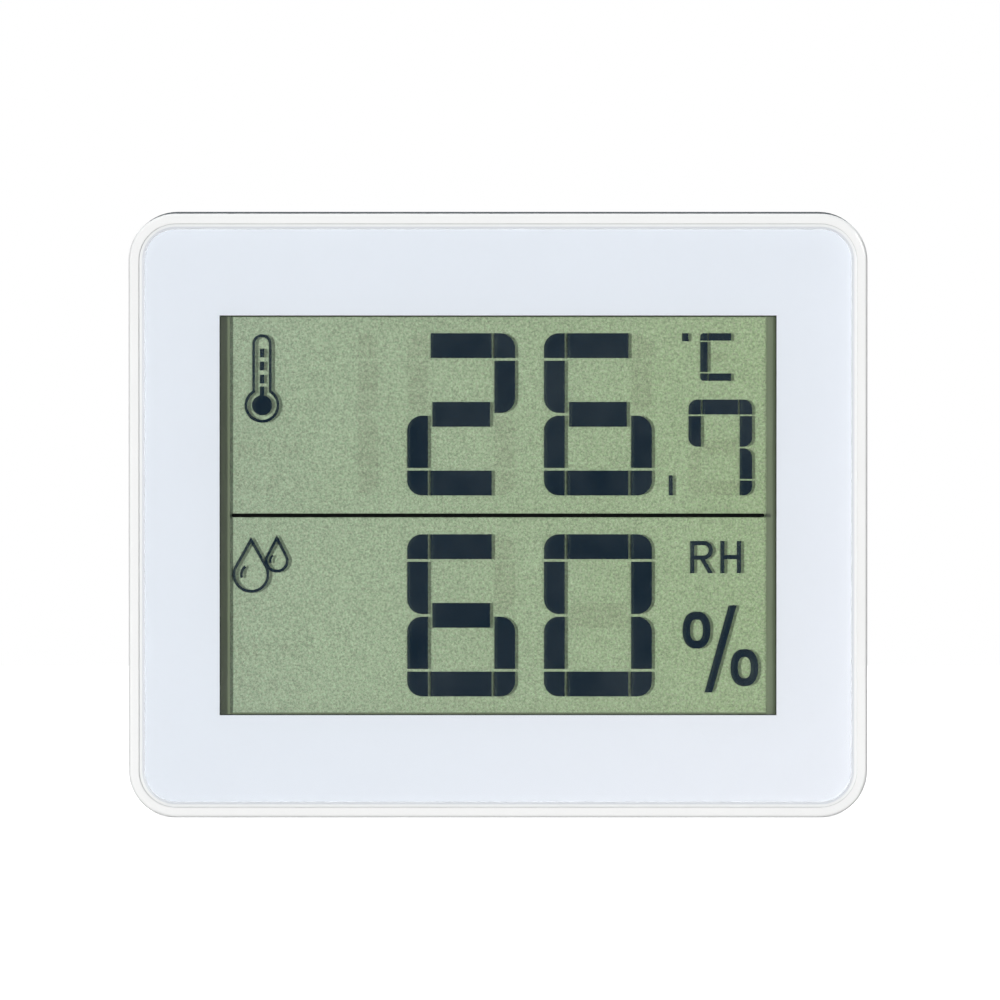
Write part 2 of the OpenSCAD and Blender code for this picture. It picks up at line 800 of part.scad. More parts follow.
module humidity_sensor() {
    body_w = 6;
    body_d = 2.6;
    body_h = 9;
    slot = 0.7;
    x = board_leg_w / 2 - board_half + 1;
    z = board_leg_z + 4;
    color("ivory") difference() {
        block([x, y_board_back, z], [x + body_w, y_board_back + body_d, z + body_h]);
        for (i = [0 : 3]) block([x + 1, y_board_back + body_d - 0.8, z + 1.4 + 1.8 * i],
            [x + body_w - 1, y_board_back + body_d + 1, z + 1.4 + slot + 1.8 * i]);
    }
}

module switch_body() {
    half = switch_w / 2;
    color("#262626") difference() {
        block([button_x - half, y_board_back, button_z - half],
            [button_x + half, y_board_back + switch_h, button_z + half]);
        rod(button_x, button_z, plunger_r + 0.1, y_plunger - plunger_out - plunger_deep - 0.5,
            y_board_back + switch_h + 1);
    }
}

module switch_plunger() {
    color("#444444") rod(button_x, button_z, plunger_r, y_plunger - plunger_out - plunger_deep, y_plunger);
}

module unit_button() {
    y_flange = y_guide - 0.1 - flange_t;
    color("whitesmoke") {
        rod(button_x, button_z, button_r, y_flange, y_back - button_out);
        rod(button_x, button_z, flange_r, y_flange, y_flange + flange_t);
        rod(button_x, button_z, plunger_r - 0.2, y_plunger, y_flange + 0.1);
    }
}

// The rear shell's rounded outer form
module rear_form() {
    translate([0, y_back, mid_z]) mirror([0, 1, 0])
        edged_plate(case_w, case_h, corner_r, y_back - y_part - part_gap, back_round);
}

module rear_cover() {
    inner_round = max(back_round - wall, 0.3);
    lap_clear = 0.1;
    color("whitesmoke") difference() {
        union() {
            difference() {
                rear_form();
                translate([0, y_skin, mid_z]) mirror([0, 1, 0])
                    edged_plate(case_w - 2 * wall, case_h - 2 * wall, corner_r - wall, case_d, inner_round);
                layer(y_part - 1, lap + 1 + lap_clear)
                    round_rect(case_w - wall + 2 * lap_clear, case_h - wall + 2 * lap_clear,
                        corner_r - wall / 2 + lap_clear);
            }
            at_bosses() rod(0, 0, cover_boss_r, y_part, y_skin + 0.5);
            block([bay_x0 - bay_wall, y_bay - bay_wall + 0.2, bay_z0 - bay_wall],
                [bay_x1 + bay_wall, y_skin + 0.5, bay_top]);
            block([door_x0 - rail_w, y_skin - seat_t, wall / 2],
                [door_x1 + rail_w, y_skin + 0.5, door_z1 + rail_w]);
            translate([stand_x, 0, 0]) pocket_walls();
            rod(button_x, button_z, button_r + button_clear + guide_wall, y_guide, y_skin + 0.5);
            block([-head_half - head_wall, y_skin - head_room - head_wall, head_z0 - head_wall],
                [head_half + head_wall, y_skin + 0.5, head_z1 + head_wall]);
        }
        at_bosses() {
            rod(0, 0, case_head_r + head_clear, y_part + screw_floor, y_back + 1);
            rod(0, 0, case_screw_r + hole_clear, y_part - 1, y_back);
        }
        block([bay_x0, y_bay, bay_z0], [bay_x1, y_back + 1, bay_z1]);
        for (x = cell_x) block([x - 1, y_axis - 0.4, bay_z1 - 1], [x + 1, y_axis + 0.4, bay_top + 1]);
        block([door_x0, y_skin, -1], [door_x1, y_back + 1, door_z1]);
        block([door_x0 - tongue, y_skin, -1],
            [door_x1 + tongue, y_skin + door_rest + tongue_t + 0.1, door_z1]);
        translate([stand_x, 0, 0]) pocket_cut();
        block([-head_half, y_skin - head_room, head_z0], [head_half, y_skin, head_z1]);
        rod(0, keyhole_z, keyhole_r, y_skin - 1, y_back + 1);
        rod(0, keyslot_z, keyslot_r, y_skin - 1, y_back + 1);
        block([-keyslot_r, y_skin - 1, keyhole_z], [keyslot_r, y_back + 1, keyslot_z]);
        rod(button_x, button_z, button_r + button_clear, y_guide - 1, y_back + 1);
        for (i = [0 : vent_count - 1]) vent_slot(vent_x0 + i * vent_pitch);
        for (i = [0 : side_vents - 1]) translate([-case_w / 2, (y_part + y_skin) / 2 + 1, 0])
            block([-1, -side_vent_d / 2, vent_z + (i - (side_vents - 1) / 2) * side_pitch - vent_w / 2],
                [wall + 1, side_vent_d / 2, vent_z + (i - (side_vents - 1) / 2) * side_pitch + vent_w / 2]);
    }
}

// Walls round the stand's pocket, with a lug for each pivot
module pocket_walls() {
    half = pocket_w / 2;
    y_floor = y_back - pocket_deep - pocket_wall;
    lug_h = 3;
    block([-half - pocket_wall, y_floor, pocket_z0 - pocket_wall],
        [half + pocket_wall, y_skin + 0.5, pocket_z1 + pocket_wall]);
    for (sx = [-1, 1]) translate([sx * (half + lug_w / 2), 0, 0])
        block([-lug_w / 2, y_floor, hinge_z - lug_h], [lug_w / 2, y_skin + 0.5, hinge_z + lug_h]);
}

// Space for the stand and holes for its pivots
module pocket_cut() {
    half = pocket_w / 2;
    block([-half, y_back - pocket_deep, pocket_z0], [half, y_back + 1, pocket_z1]);
    for (sx = [-1, 1]) translate([sx * (half + pivot_l / 2 + 0.1), y_hinge, hinge_z])
        rotate([0, 90, 0]) cylinder(r = pivot_r + pivot_clear, h = pivot_l + 0.4, center = true);
}

// One air slot through the back, with round ends
module vent_slot(x) {
    half = vent_h / 2 - vent_w / 2;
    block([x - vent_w / 2, y_skin - 1, vent_z - half], [x + vent_w / 2, y_back + 1, vent_z + half]);
    for (side = [-1, 1]) rod(x, vent_z + side * half, vent_w / 2, y_skin - 1, y_back + 1);
}

module battery_door() {
    grip_w = 14;
    grip_lines = 4;
    grip_z0 = 9;
    grip_t = 1.2;
    grip_pitch = 2 * grip_t;
    groove = 0.4;
    arrow_half = 3;
    arrow_z = grip_z0 + grip_lines * grip_pitch + arrow_half - mid_z;
    y_in = y_skin + door_rest;
    mid_x = (door_x0 + door_x1) / 2;
    color("whitesmoke") difference() {
        union() {
            intersection() {
                rear_form();
                block([door_x0 + door_gap, y_in, -1], [door_x1 - door_gap, y_back + 1, door_z1 - door_gap]);
            }
            block([door_x0 - tongue + door_gap, y_in, back_round],
                [door_x1 + tongue - door_gap, y_in + tongue_t, door_z1 - door_gap]);
        }
        for (i = [0 : grip_lines - 1]) block([mid_x - grip_w / 2, y_back - groove, grip_z0 + grip_pitch * i],
            [mid_x + grip_w / 2, y_back + 1, grip_z0 + grip_pitch * i + grip_t]);
        layer(y_back - groove, groove + 1) polygon([[mid_x, arrow_z],
            [mid_x + arrow_half, arrow_z + arrow_half], [mid_x - arrow_half, arrow_z + arrow_half]]);
    }
}

module stand_leg() {
    half = stand_w / 2;
    corner = 3;
    hollow = 0.8;
    color("whitesmoke") translate([stand_x, 0, 0]) difference() {
        union() {
            translate([0, y_hinge, hinge_z]) rotate([0, 90, 0])
                cylinder(r = stand_t / 2, h = stand_w, center = true);
            translate([0, y_hinge, hinge_z]) rotate([0, 90, 0])
                cylinder(r = pivot_r, h = pocket_w + 2 * pivot_l, center = true);
            block([-half, y_hinge - stand_t / 2, stand_foot_z + corner],
                [half, y_hinge + stand_t / 2, hinge_z]);
            block([-half + corner, y_hinge - stand_t / 2, stand_foot_z],
                [half - corner, y_hinge + stand_t / 2, hinge_z]);
            for (sx = [-1, 1]) rod(sx * (half - corner), stand_foot_z + corner, corner,
                y_hinge - stand_t / 2, y_hinge + stand_t / 2);
        }
        rod(0, stand_foot_z, finger_r, y_hinge - stand_t, y_hinge + stand_t);
        block([-half + 4, y_hinge - stand_t, stand_foot_z + finger_r + 4],
            [half - 4, y_hinge - stand_t / 2 + hollow, hinge_z - 5]);
    }
}

// A cell with its nub towards up (1) or down (-1)
module cell(x, up) {
    nub_h = 0.9;
    nub_r = 1.9;
    z0 = up > 0 ? bay_z0 + contact_t + spring_room : bay_z0 + contact_t;
    body_z = up > 0 ? z0 : z0 + nub_h;
    translate([x, y_axis, body_z]) cylinder(r = cell_r, h = cell_l - nub_h);
    translate([x, y_axis, up > 0 ? z0 + cell_l - nub_h - 0.1 : z0]) cylinder(r = nub_r, h = nub_h + 0.1);
}

module battery_left() {
    color("goldenrod") cell(cell_x[0], 1);
}

module battery_right() {
    color("goldenrod") cell(cell_x[1], -1);
}

plate_half = 4;
tail_half = 0.8;
tail_out = 2;

// Contact plate at the top of the bay, with its tail through the wall
module top_contact(x) {
    block([x - plate_half, y_axis - plate_half, bay_z1 - contact_t],
        [x + plate_half, y_axis + plate_half, bay_z1]);
    block([x - tail_half, y_axis - contact_t / 2, bay_z1 - contact_t],
        [x + tail_half, y_axis + contact_t / 2, bay_top + tail_out]);
}

module contact_positive() {
    color("silver") top_contact(cell_x[0]);
}

module contact_negative() {
    color("silver") top_contact(cell_x[1]);
}

module contact_bridge() {
    color("silver") block([cell_x[0] - plate_half, y_axis - plate_half, bay_z0],
        [cell_x[1] + plate_half, y_axis + plate_half, bay_z0 + contact_t]);
}

// A tube of radius r swept along points, each with a unit side vector and a unit up vector
function ring_points(path, side, up, r, sides) = [for (i = [0 : len(path) - 1], k = [0 : sides - 1])
    path[i] + r * cos(360 * k / sides) * side[i] + r * sin(360 * k / sides) * up[i]];
function tube_faces(rings, sides) = concat(
    [for (i = [0 : rings - 2], k = [0 : sides - 1])
        [i * sides + k, i * sides + (k + 1) % sides, (i + 1) * sides + (k + 1) % sides]],
    [for (i = [0 : rings - 2], k = [0 : sides - 1])
        [i * sides + k, (i + 1) * sides + (k + 1) % sides, (i + 1) * sides + k]],
    [[for (k = [sides - 1 : -1 : 0]) k]],
    [[for (k = [0 : sides - 1]) (rings - 1) * sides + k]]);
function unit(v) = v / norm(v);
function tangent(path, i) = unit(path[min(i + 1, len(path) - 1)] - path[max(i - 1, 0)]);

module swept_tube(path, guide, r, sides) {
    steps = [for (i = [0 : len(path) - 1]) tangent(path, i)];
    side = [for (t = steps) unit(cross(guide, t))];
    up = [for (i = [0 : len(path) - 1]) cross(steps[i], side[i])];
    polyhedron(ring_points(path, side, up, r, sides), tube_faces(len(path), sides), convexity = 8);
}

// A conical battery spring from its wide end at the origin up to its narrow end
module conical_spring() {
    turns = 4;
    per_turn = 12;
    coil_r = 0.35;
    wide_r = 3.3;
    narrow_r = 2.1;
    path = [for (i = [0 : turns * per_turn]) let (s = i / (turns * per_turn), a = 360 * turns * s,
        r = wide_r + (narrow_r - wide_r) * s)
        [r * cos(a), r * sin(a), coil_r + (spring_room - 2 * coil_r) * s]];
    swept_tube(path, [0, 0, 1], coil_r, 6);
}

module battery_springs() {
    color("lightgray") {
        translate([cell_x[0], y_axis, bay_z0 + contact_t]) conical_spring();
        translate([cell_x[1], y_axis, bay_z1 - contact_t]) mirror([0, 0, 1]) conical_spring();
    }
}

// A wire that loops from the back of a contact's tail to a pad on the board
wire_r = 0.5;
joint_up = 1.2;
wire_bow = [2.4, 6];
wire_stub = [0, 0.3, 0];
pad_at = [-6, 7];
function bend(a, b, c, d, s) = let (t = 1 - s)
    t * t * t * a + 3 * t * t * s * b + 3 * t * s * s * c + s * s * s * d;
module lead(x) {
    from = [x, y_axis + contact_t / 2, bay_top + joint_up];
    pad = [x + pad_at[0], y_board_back, board_bottom + pad_at[1]];
    path = concat([from], [for (i = [0 : 14]) bend(from + wire_stub, from + [0, wire_bow[0], 0],
        pad + [0, wire_bow[1], 0], pad + wire_stub, i / 14)], [pad]);
    swept_tube(path, [1, 0, 0], wire_r, 8);
}

module wire_red() {
    color("red") lead(cell_x[0]);
}

module wire_black() {
    color("#181818") lead(cell_x[1]);
}

module case_screws() {
    reach = screw_floor + y_part - y_inner - 1.6;
    color("silver") at_bosses()
        pan_screw(y_part + screw_floor, reach, case_screw_r, case_head_r, case_head_h);
}

module carrier_screws() {
    reach = y_web + web_t - y_inner - 0.8;
    color("silver") at_bottom_screws()
        pan_screw(y_web + web_t, reach, small_screw_r, small_head_r, small_head_h);
}

module board_screws() {
    color("silver") {
        at_top_screws()
            pan_screw(y_board_back, y_board_back - y_inner - 0.8, small_screw_r, small_head_r, small_head_h);
        at_low_screws()
            pan_screw(y_board_back, y_board_back - y_web - 0.1, small_screw_r, small_head_r, small_head_h);
    }
}

front_frame();
window_panel();
panel_print();
divider_print();
panel_tape();
display_front_polarizer();
display_front_glass();
lit_digits();
lit_symbols();
idle_segments();
display_seal();
display_rear_glass();
display_reflector();
display_carrier();
zebra_strip();
main_board();
chip_blob();
timing_crystal();
board_resistors();
board_capacitors();
thermistor();
humidity_sensor();
switch_body();
switch_plunger();
unit_button();
rear_cover();
battery_door();
stand_leg();
battery_left();
battery_right();
contact_positive();
contact_negative();
contact_bridge();
battery_springs();
wire_red();
wire_black();
case_screws();
carrier_screws();
board_screws();
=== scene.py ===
"""Looks of a desk display for room temperature and humidity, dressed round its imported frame.

Lengths are in metres in the frame's own axes: X to the right as seen from the front, Y from the
front to the back, Z up.
"""
import json
import logging
import math
from dataclasses import dataclass
from enum import Enum
from typing import Any, Iterable

import bpy
import numpy as np
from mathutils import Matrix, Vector


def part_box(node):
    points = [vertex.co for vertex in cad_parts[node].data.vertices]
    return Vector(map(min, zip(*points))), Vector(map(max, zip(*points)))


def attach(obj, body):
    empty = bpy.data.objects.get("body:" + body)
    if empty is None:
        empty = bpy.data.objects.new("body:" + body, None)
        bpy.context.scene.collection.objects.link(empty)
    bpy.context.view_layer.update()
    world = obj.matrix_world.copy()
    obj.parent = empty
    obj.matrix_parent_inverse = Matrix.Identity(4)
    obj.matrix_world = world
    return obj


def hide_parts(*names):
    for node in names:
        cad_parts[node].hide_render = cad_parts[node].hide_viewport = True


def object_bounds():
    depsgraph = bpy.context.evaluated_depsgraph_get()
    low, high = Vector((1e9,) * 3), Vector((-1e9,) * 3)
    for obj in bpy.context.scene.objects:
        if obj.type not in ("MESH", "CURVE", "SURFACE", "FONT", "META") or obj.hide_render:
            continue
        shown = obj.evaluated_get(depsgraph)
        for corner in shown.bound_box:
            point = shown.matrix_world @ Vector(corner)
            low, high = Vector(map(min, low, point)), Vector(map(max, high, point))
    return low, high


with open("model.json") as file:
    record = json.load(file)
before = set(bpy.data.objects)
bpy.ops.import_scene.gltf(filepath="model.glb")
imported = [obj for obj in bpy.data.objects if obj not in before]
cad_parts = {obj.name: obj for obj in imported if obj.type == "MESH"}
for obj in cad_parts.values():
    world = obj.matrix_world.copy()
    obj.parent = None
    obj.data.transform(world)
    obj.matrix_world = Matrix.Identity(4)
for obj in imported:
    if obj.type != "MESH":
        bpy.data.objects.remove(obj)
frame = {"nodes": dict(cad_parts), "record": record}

CAD_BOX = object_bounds()
MM = 0.001
TURN = 2 * math.pi
LAYER_GAP = 0.01 * MM
Colour = tuple[float, float, float]
Point = tuple[float, float, float]
log = logging.getLogger("scene")


def srgb(red: float, green: float, blue: float) -> Colour:
    """A colour in screen values from 0 to 255 as linear light, by the display's standard curve."""
    parts = np.array([red, green, blue]) / 255
    linear = np.where(parts <= 0.04045, parts / 12.92, ((parts + 0.055) / 1.055) ** 2.4)
    return tuple(float(part) for part in linear)


class Graph:
    """A node tree with short ways to add nodes and join them."""

    def __init__(self, tree: bpy.types.NodeTree) -> None:
        """Wraps a node tree.

        Args:
            tree: the tree that new nodes go into.
        """
        self.tree = tree

    def feed(self, socket: bpy.types.NodeSocket, value: Any) -> None:
        """Joins a socket to another one, or sets its value. A colour gets full cover."""
        if isinstance(value, bpy.types.NodeSocket):
            self.tree.links.new(value, socket)
        elif socket.type == "RGBA":
            socket.default_value = (*value, 1.0)
        else:
            socket.default_value = value

    def add(self, kind: str, inputs: dict[Any, Any] | None = None, **settings: Any) -> bpy.types.Node:
        """Adds a shader node.

        Args:
            kind: the node's type, without its ShaderNode prefix.
            inputs: values for its sockets. A socket as value is joined to it.
            **settings: values for the node's own properties.

        Returns:
            The new node.
        """
        node = self.tree.nodes.new("ShaderNode" + kind)
        for name, value in settings.items():
            setattr(node, name, value)
        for name, value in (inputs or {}).items():
            self.feed(node.inputs[name], value)
        return node

    def math(self, operation: str, first: Any, second: Any = 0.0,
             clamp: bool = False) -> bpy.types.NodeSocket:
        """The result of a Math node on one or two values."""
        return self.add("Math", {0: first, 1: second}, operation=operation, use_clamp=clamp).outputs[0]

    def product(self, *factors: Any) -> bpy.types.NodeSocket:
        """All factors multiplied."""
        result = factors[0]
        for factor in factors[1:]:
            result = self.math("MULTIPLY", result, factor)
        return result

    def dot(self, first: Any, second: Any) -> bpy.types.NodeSocket:
        """How far two vectors run the same way."""
        return self.add("VectorMath", {0: first, 1: second}, operation="DOT_PRODUCT").outputs["Value"]

    def part(self, vector: Any, axis: str) -> bpy.types.NodeSocket:
        """A vector's X, Y or Z."""
        return self.add("SeparateXYZ", {0: vector}).outputs[axis]

    def noise(self, vector: Any, cells: Any, detail: float, roughness: float = 0.5) -> bpy.types.NodeSocket:
        """Cloudy noise round a half, with cells of it to a metre."""
        settings = {"Vector": vector, "Scale": cells, "Detail": detail, "Roughness": roughness}
        return self.add("TexNoise", settings).outputs["Fac"]

    def spread(self, value: Any, low: Any, high: Any, from_low: float = 0.0, from_high: float = 1.0,
               smooth: bool = False) -> bpy.types.NodeSocket:
        """A value carried from one range to another, and kept inside the second one."""
        inputs = {"Value": value, "From Min": from_low, "From Max": from_high, "To Min": low, "To Max": high}
        kind = "SMOOTHSTEP" if smooth else "LINEAR"
        return self.add("MapRange", inputs, interpolation_type=kind).outputs["Result"]

    def shaded(self, colour: Any, value: bpy.types.NodeSocket) -> bpy.types.NodeSocket:
        """A colour made lighter or darker by a value round 1."""
        return self.add("VectorMath", {0: colour, "Scale": value}, operation="SCALE").outputs["Vector"]

    def mixed(self, share: Any, first: Any, second: Any) -> bpy.types.NodeSocket:
        """A mix of two colours, with share 0 for the first and 1 for the second."""
        node = self.add("Mix", data_type="RGBA")
        for socket, value in zip((node.inputs[0], node.inputs[6], node.inputs[7]), (share, first, second)):
            self.feed(socket, value)
        return node.outputs[2]


class Effect(Enum):
    """Shader groups that more than one finish uses."""

    MOULD_GRAIN = "mould_grain"
    PATCHES = "patches"
    EDGE_WEAR = "edge_wear"
    DUST = "dust"
    SPECKLE = "speckle"
    BRUSHING = "brushing"


class Group(Graph):
    """A shader group while it is built: it reads a vector and its own values."""

    def __init__(self, effect: Effect, outputs: tuple[str, ...], **inputs: float | None) -> None:
        """Makes the empty group.

        Args:
            effect: what the group makes.
            outputs: the names of the values that it puts out.
            **inputs: its inputs besides Vector, each with its start value, or None for a vector.
        """
        super().__init__(bpy.data.node_groups.new(effect.value, "ShaderNodeTree"))
        for name, start in {"Vector": None, **inputs}.items():
            kind = "NodeSocketVector" if start is None else "NodeSocketFloat"
            label = name.replace("_", " ")
            socket = self.tree.interface.new_socket(name=label, in_out="INPUT", socket_type=kind)
            if start is not None:
                socket.default_value = start
        for name in outputs:
            self.tree.interface.new_socket(name=name, in_out="OUTPUT", socket_type="NodeSocketFloat")
        self.given = self.tree.nodes.new("NodeGroupInput").outputs
        self.made = self.tree.nodes.new("NodeGroupOutput").inputs
        self.place = self.given["Vector"]


class Effects:
    """Builds each shared shader group once."""

    def __init__(self) -> None:
        """Makes every group."""
        makers = {
            Effect.MOULD_GRAIN: self.mould_grain,
            Effect.PATCHES: self.patches,
            Effect.EDGE_WEAR: self.edge_wear,
            Effect.DUST: self.dust,
            Effect.SPECKLE: self.speckle,
            Effect.BRUSHING: self.brushing,
        }
        self.trees = {effect: make().tree for effect, make in makers.items()}

    def mould_grain(self) -> Group:
        """Fine spark-eroded grain: smooth noise and round pits, 0.6 to 0.4, Cells of them to a metre."""
        group = Group(Effect.MOULD_GRAIN, ("Height", "Shade"), Cells=4000.0)
        noise = group.noise(group.place, group.given["Cells"], 3.0, 0.6)
        pits = group.add("TexVoronoi", {"Vector": group.place, "Scale": group.given["Cells"]})
        height = group.math("ADD", group.product(noise, 0.6), group.product(pits.outputs["Distance"], 0.4))
        group.feed(group.made["Height"], height)
        group.feed(group.made["Shade"], group.spread(noise, 0.985, 1.015, from_low=0.3, from_high=0.7))
        return group

    def patches(self) -> Group:
        """Slow cloudy change from Low to High, Cells of it to a metre."""
        group = Group(Effect.PATCHES, ("Value",), Cells=60.0, Low=0.0, High=1.0)
        noise = group.noise(group.place, group.given["Cells"], 4.0, 0.55)
        value = group.spread(noise, group.given["Low"], group.given["High"], from_low=0.3, from_high=0.7)
        group.feed(group.made["Value"], value)
        return group

    def edge_wear(self) -> Group:
        """Mask of rubbed edges: how far the rounded normal leaves the true one, broken up by noise."""
        group = Group(Effect.EDGE_WEAR, ("Mask",), Soft_Normal=None, Amount=1.0)
        true_normal = group.add("NewGeometry").outputs["True Normal"]
        agree = group.dot(group.given["Soft Normal"], true_normal)
        edge = group.spread(agree, 1.0, 0.0, from_low=0.85, from_high=0.995)
        broken = group.spread(group.noise(group.place, 900.0, 4.0), 0.2, 1.0, from_low=0.35, from_high=0.65)
        group.feed(group.made["Mask"], group.product(edge, broken, group.given["Amount"]))
        return group

    def dust(self) -> Group:
        """Mask of fine dust that lies on faces that look up."""
        group = Group(Effect.DUST, ("Mask",), Amount=0.3)
        upward = group.part(group.add("NewGeometry").outputs["Normal"], "Z")
        lying = group.spread(upward, 0.0, 1.0, from_low=0.2, from_high=0.95)
        specks = group.noise(group.place, 2600.0, 5.0, 0.7)
        thin = group.spread(specks, 0.0, 1.0, from_low=0.52, from_high=0.72)
        group.feed(group.made["Mask"], group.product(lying, thin, group.given["Amount"]))
        return group

    def speckle(self) -> Group:
        """Fine even speckle round 1, Cells of it to a metre and Spread to each side."""
        group = Group(Effect.SPECKLE, ("Value",), Cells=6000.0, Spread=0.05)
        noise = group.noise(group.place, group.given["Cells"], 2.0, 0.8)
        centred = group.product(group.math("SUBTRACT", noise, 0.5), 4.0)
        value = group.math("ADD", group.product(centred, group.given["Spread"]), 1.0)
        group.feed(group.made["Value"], value)
        return group

    def brushing(self) -> Group:
        """Rolled or drawn lines along Z: noise stretched twenty to one."""
        group = Group(Effect.BRUSHING, ("Value",), Cells=3000.0)
        stretch = group.add("VectorMath", {0: group.place, 1: (1.0, 1.0, 0.05)}, operation="MULTIPLY")
        lines = group.noise(stretch.outputs["Vector"], group.given["Cells"], 4.0)
        group.feed(group.made["Value"], lines)
        return group


class Shader(Graph):
    """A material with one Principled surface, read in the object's own coordinates."""

    def __init__(self, name: str, effects: Effects) -> None:
        """Makes the material.

        Args:
            name: the material's name.
            effects: the shared shader groups.
        """
        self.material = bpy.data.materials.new(name)
        self.material.use_nodes = True
        super().__init__(self.material.node_tree)
        self.tree.nodes.clear()
        self.effects = effects
        self.principled = self.add("BsdfPrincipled")
        self.add("OutputMaterial", {"Surface": self.principled.outputs["BSDF"]})
        self.place = self.add("TexCoord").outputs["Object"]

    def effect(self, effect: Effect, output: str = "Value", **inputs: Any) -> bpy.types.NodeSocket:
        """An output of a shared group, which reads this material's coordinates."""
        return self.placed(effect, **inputs)[output]

    def placed(self, effect: Effect, **inputs: Any) -> Any:
        """The outputs of a shared group, placed in this material."""
        node = self.add("Group", node_tree=self.effects.trees[effect])
        for name, value in {"Vector": self.place, **inputs}.items():
            self.feed(node.inputs[name.replace("_", " ")], value)
        return node.outputs

    def uneven(self, middle: float, below: float, above: float, cells: float) -> bpy.types.NodeSocket:
        """A value that drifts in patches from below to above its middle."""
        return self.effect(Effect.PATCHES, Cells=cells, Low=middle - below, High=middle + above)

    def finish(self, values: dict[str, Any]) -> None:
        """Sets or joins the surface's sockets."""
        for name, value in values.items():
            self.feed(self.principled.inputs[name], value)

    def bump(self, height: bpy.types.NodeSocket, distance: float, strength: float = 1.0,
             normal: bpy.types.NodeSocket | None = None) -> bpy.types.NodeSocket:
        """The normal that a height gives, with the height's 1 at distance metres."""
        inputs: dict[str, Any] = {"Height": height, "Distance": distance, "Strength": strength}
        if normal is not None:
            inputs["Normal"] = normal
        return self.add("Bump", inputs).outputs["Normal"]


@dataclass(frozen=True)
class Finish:
    """What every finish has: a name, and a way to build its material."""

    name: str

    def material(self, effects: Effects) -> bpy.types.Material:
        """The finish's material."""
        shader = Shader(self.name + "_finish", effects)
        self.paint(shader)
        return shader.material

    def paint(self, shader: Shader) -> None:
        """Joins up the finish's nodes."""
        raise NotImplementedError


@dataclass(frozen=True)
class MouldedPlastic(Finish):
    """Moulded plastic with spark grain, softened edges, faint rubbing, some dust and a skin of gloss."""

    tone: Colour
    roughness: float = 0.42
    cells: float = 4200.0
    relief: float = 0.012 * MM
    edge: float = 0.18 * MM
    gloss: float = 0.0
    gloss_roughness: float = 0.04
    rubbed: Colour = srgb(252, 252, 250)
    rubbing: float = 0.5
    rubbed_smoother: float = 0.12
    dust_tone: Colour = srgb(196, 192, 184)
    dust: float = 0.16

    def paint(self, shader: Shader) -> None:
        """Joins up the plastic's nodes."""
        grain = shader.placed(Effect.MOULD_GRAIN, Cells=self.cells)
        clouds = shader.uneven(1.0, 0.01, 0.01, cells=45.0)
        soft = shader.add("Bevel", {"Radius": self.edge}, samples=4).outputs["Normal"]
        wear = shader.effect(Effect.EDGE_WEAR, "Mask", Soft_Normal=soft, Amount=self.rubbing)
        dust = shader.effect(Effect.DUST, "Mask", Amount=self.dust)
        tone = shader.shaded(self.tone, shader.product(grain["Shade"], clouds))
        worn = shader.mixed(wear, tone, self.rubbed)
        rough = shader.uneven(self.roughness, 0.04, 0.05, cells=160.0)
        shader.finish({
            "Base Color": shader.mixed(dust, worn, self.dust_tone),
            "Roughness": shader.math("SUBTRACT", rough, shader.product(wear, self.rubbed_smoother)),
            "Normal": shader.bump(grain["Height"], self.relief, 1.0, soft),
            "IOR": 1.5,
            "Coat Weight": self.gloss,
            "Coat Roughness": self.gloss_roughness,
        })


@dataclass(frozen=True)
class ClearSheet(Finish):
    """A clear polished sheet: it lets light through and mirrors a little, more so at a slant."""

    tint: Colour
    film: float
    ior: float = 1.49
    roughness: float = 0.05

    def paint(self, shader: Shader) -> None:
        """Joins up the sheet's nodes: its mirror share is the Fresnel share times film."""
        flat = shader.add("NewGeometry").outputs["True Normal"]
        mirror = shader.add("Fresnel", {"IOR": self.ior, "Normal": flat}).outputs["Fac"]
        share = shader.math("MULTIPLY", mirror, self.film, clamp=True)
        clouds = shader.effect(Effect.SPECKLE, Cells=90.0, Spread=0.3)
        shader.finish({
            "Base Color": self.tint,
            "Metallic": 1.0,
            "Roughness": shader.product(clouds, self.roughness),
            "Alpha": share,
            "Normal": flat,
        })


@dataclass(frozen=True)
class PanelPrint(Finish):
    """Cool white ink behind the panel with rare specks, and painted shade that darkens it towards the upper
    left.
    """

    tone: Colour
    far_tone: Colour
    painted_shade_span: Point

    def paint(self, shader: Shader) -> None:
        """Joins up the ink's nodes: the painted shade runs from the darker upper left to the lighter lower
        right along the span vector.
        """
        along = shader.dot(shader.place, self.painted_shade_span)
        share = shader.spread(along, 0.0, 1.0, from_low=-1.0, from_high=1.0, smooth=True)
        grain = shader.effect(Effect.SPECKLE, Cells=3800.0, Spread=0.004)
        shade = shader.product(shader.uneven(1.0, 0.006, 0.006, cells=35.0), grain)
        tone = shader.shaded(shader.mixed(share, self.tone, self.far_tone), shade)
        shader.finish({"Base Color": tone, "Roughness": 0.6, "Specular IOR Level": 0.0})


@dataclass(frozen=True)
class Ink(Finish):
    """Dense printed ink with a slightly uneven film."""

    tone: Colour
    roughness: float = 0.5

    def paint(self, shader: Shader) -> None:
        """Joins up the ink's nodes."""
        film = shader.effect(Effect.SPECKLE, Cells=5200.0, Spread=0.12)
        shader.finish({
            "Base Color": shader.shaded(self.tone, film),
            "Roughness": shader.uneven(self.roughness, 0.06, 0.06, cells=600.0),
            "Normal": shader.bump(film, 0.004 * MM, 0.5),
            "Specular IOR Level": 0.02,
        })


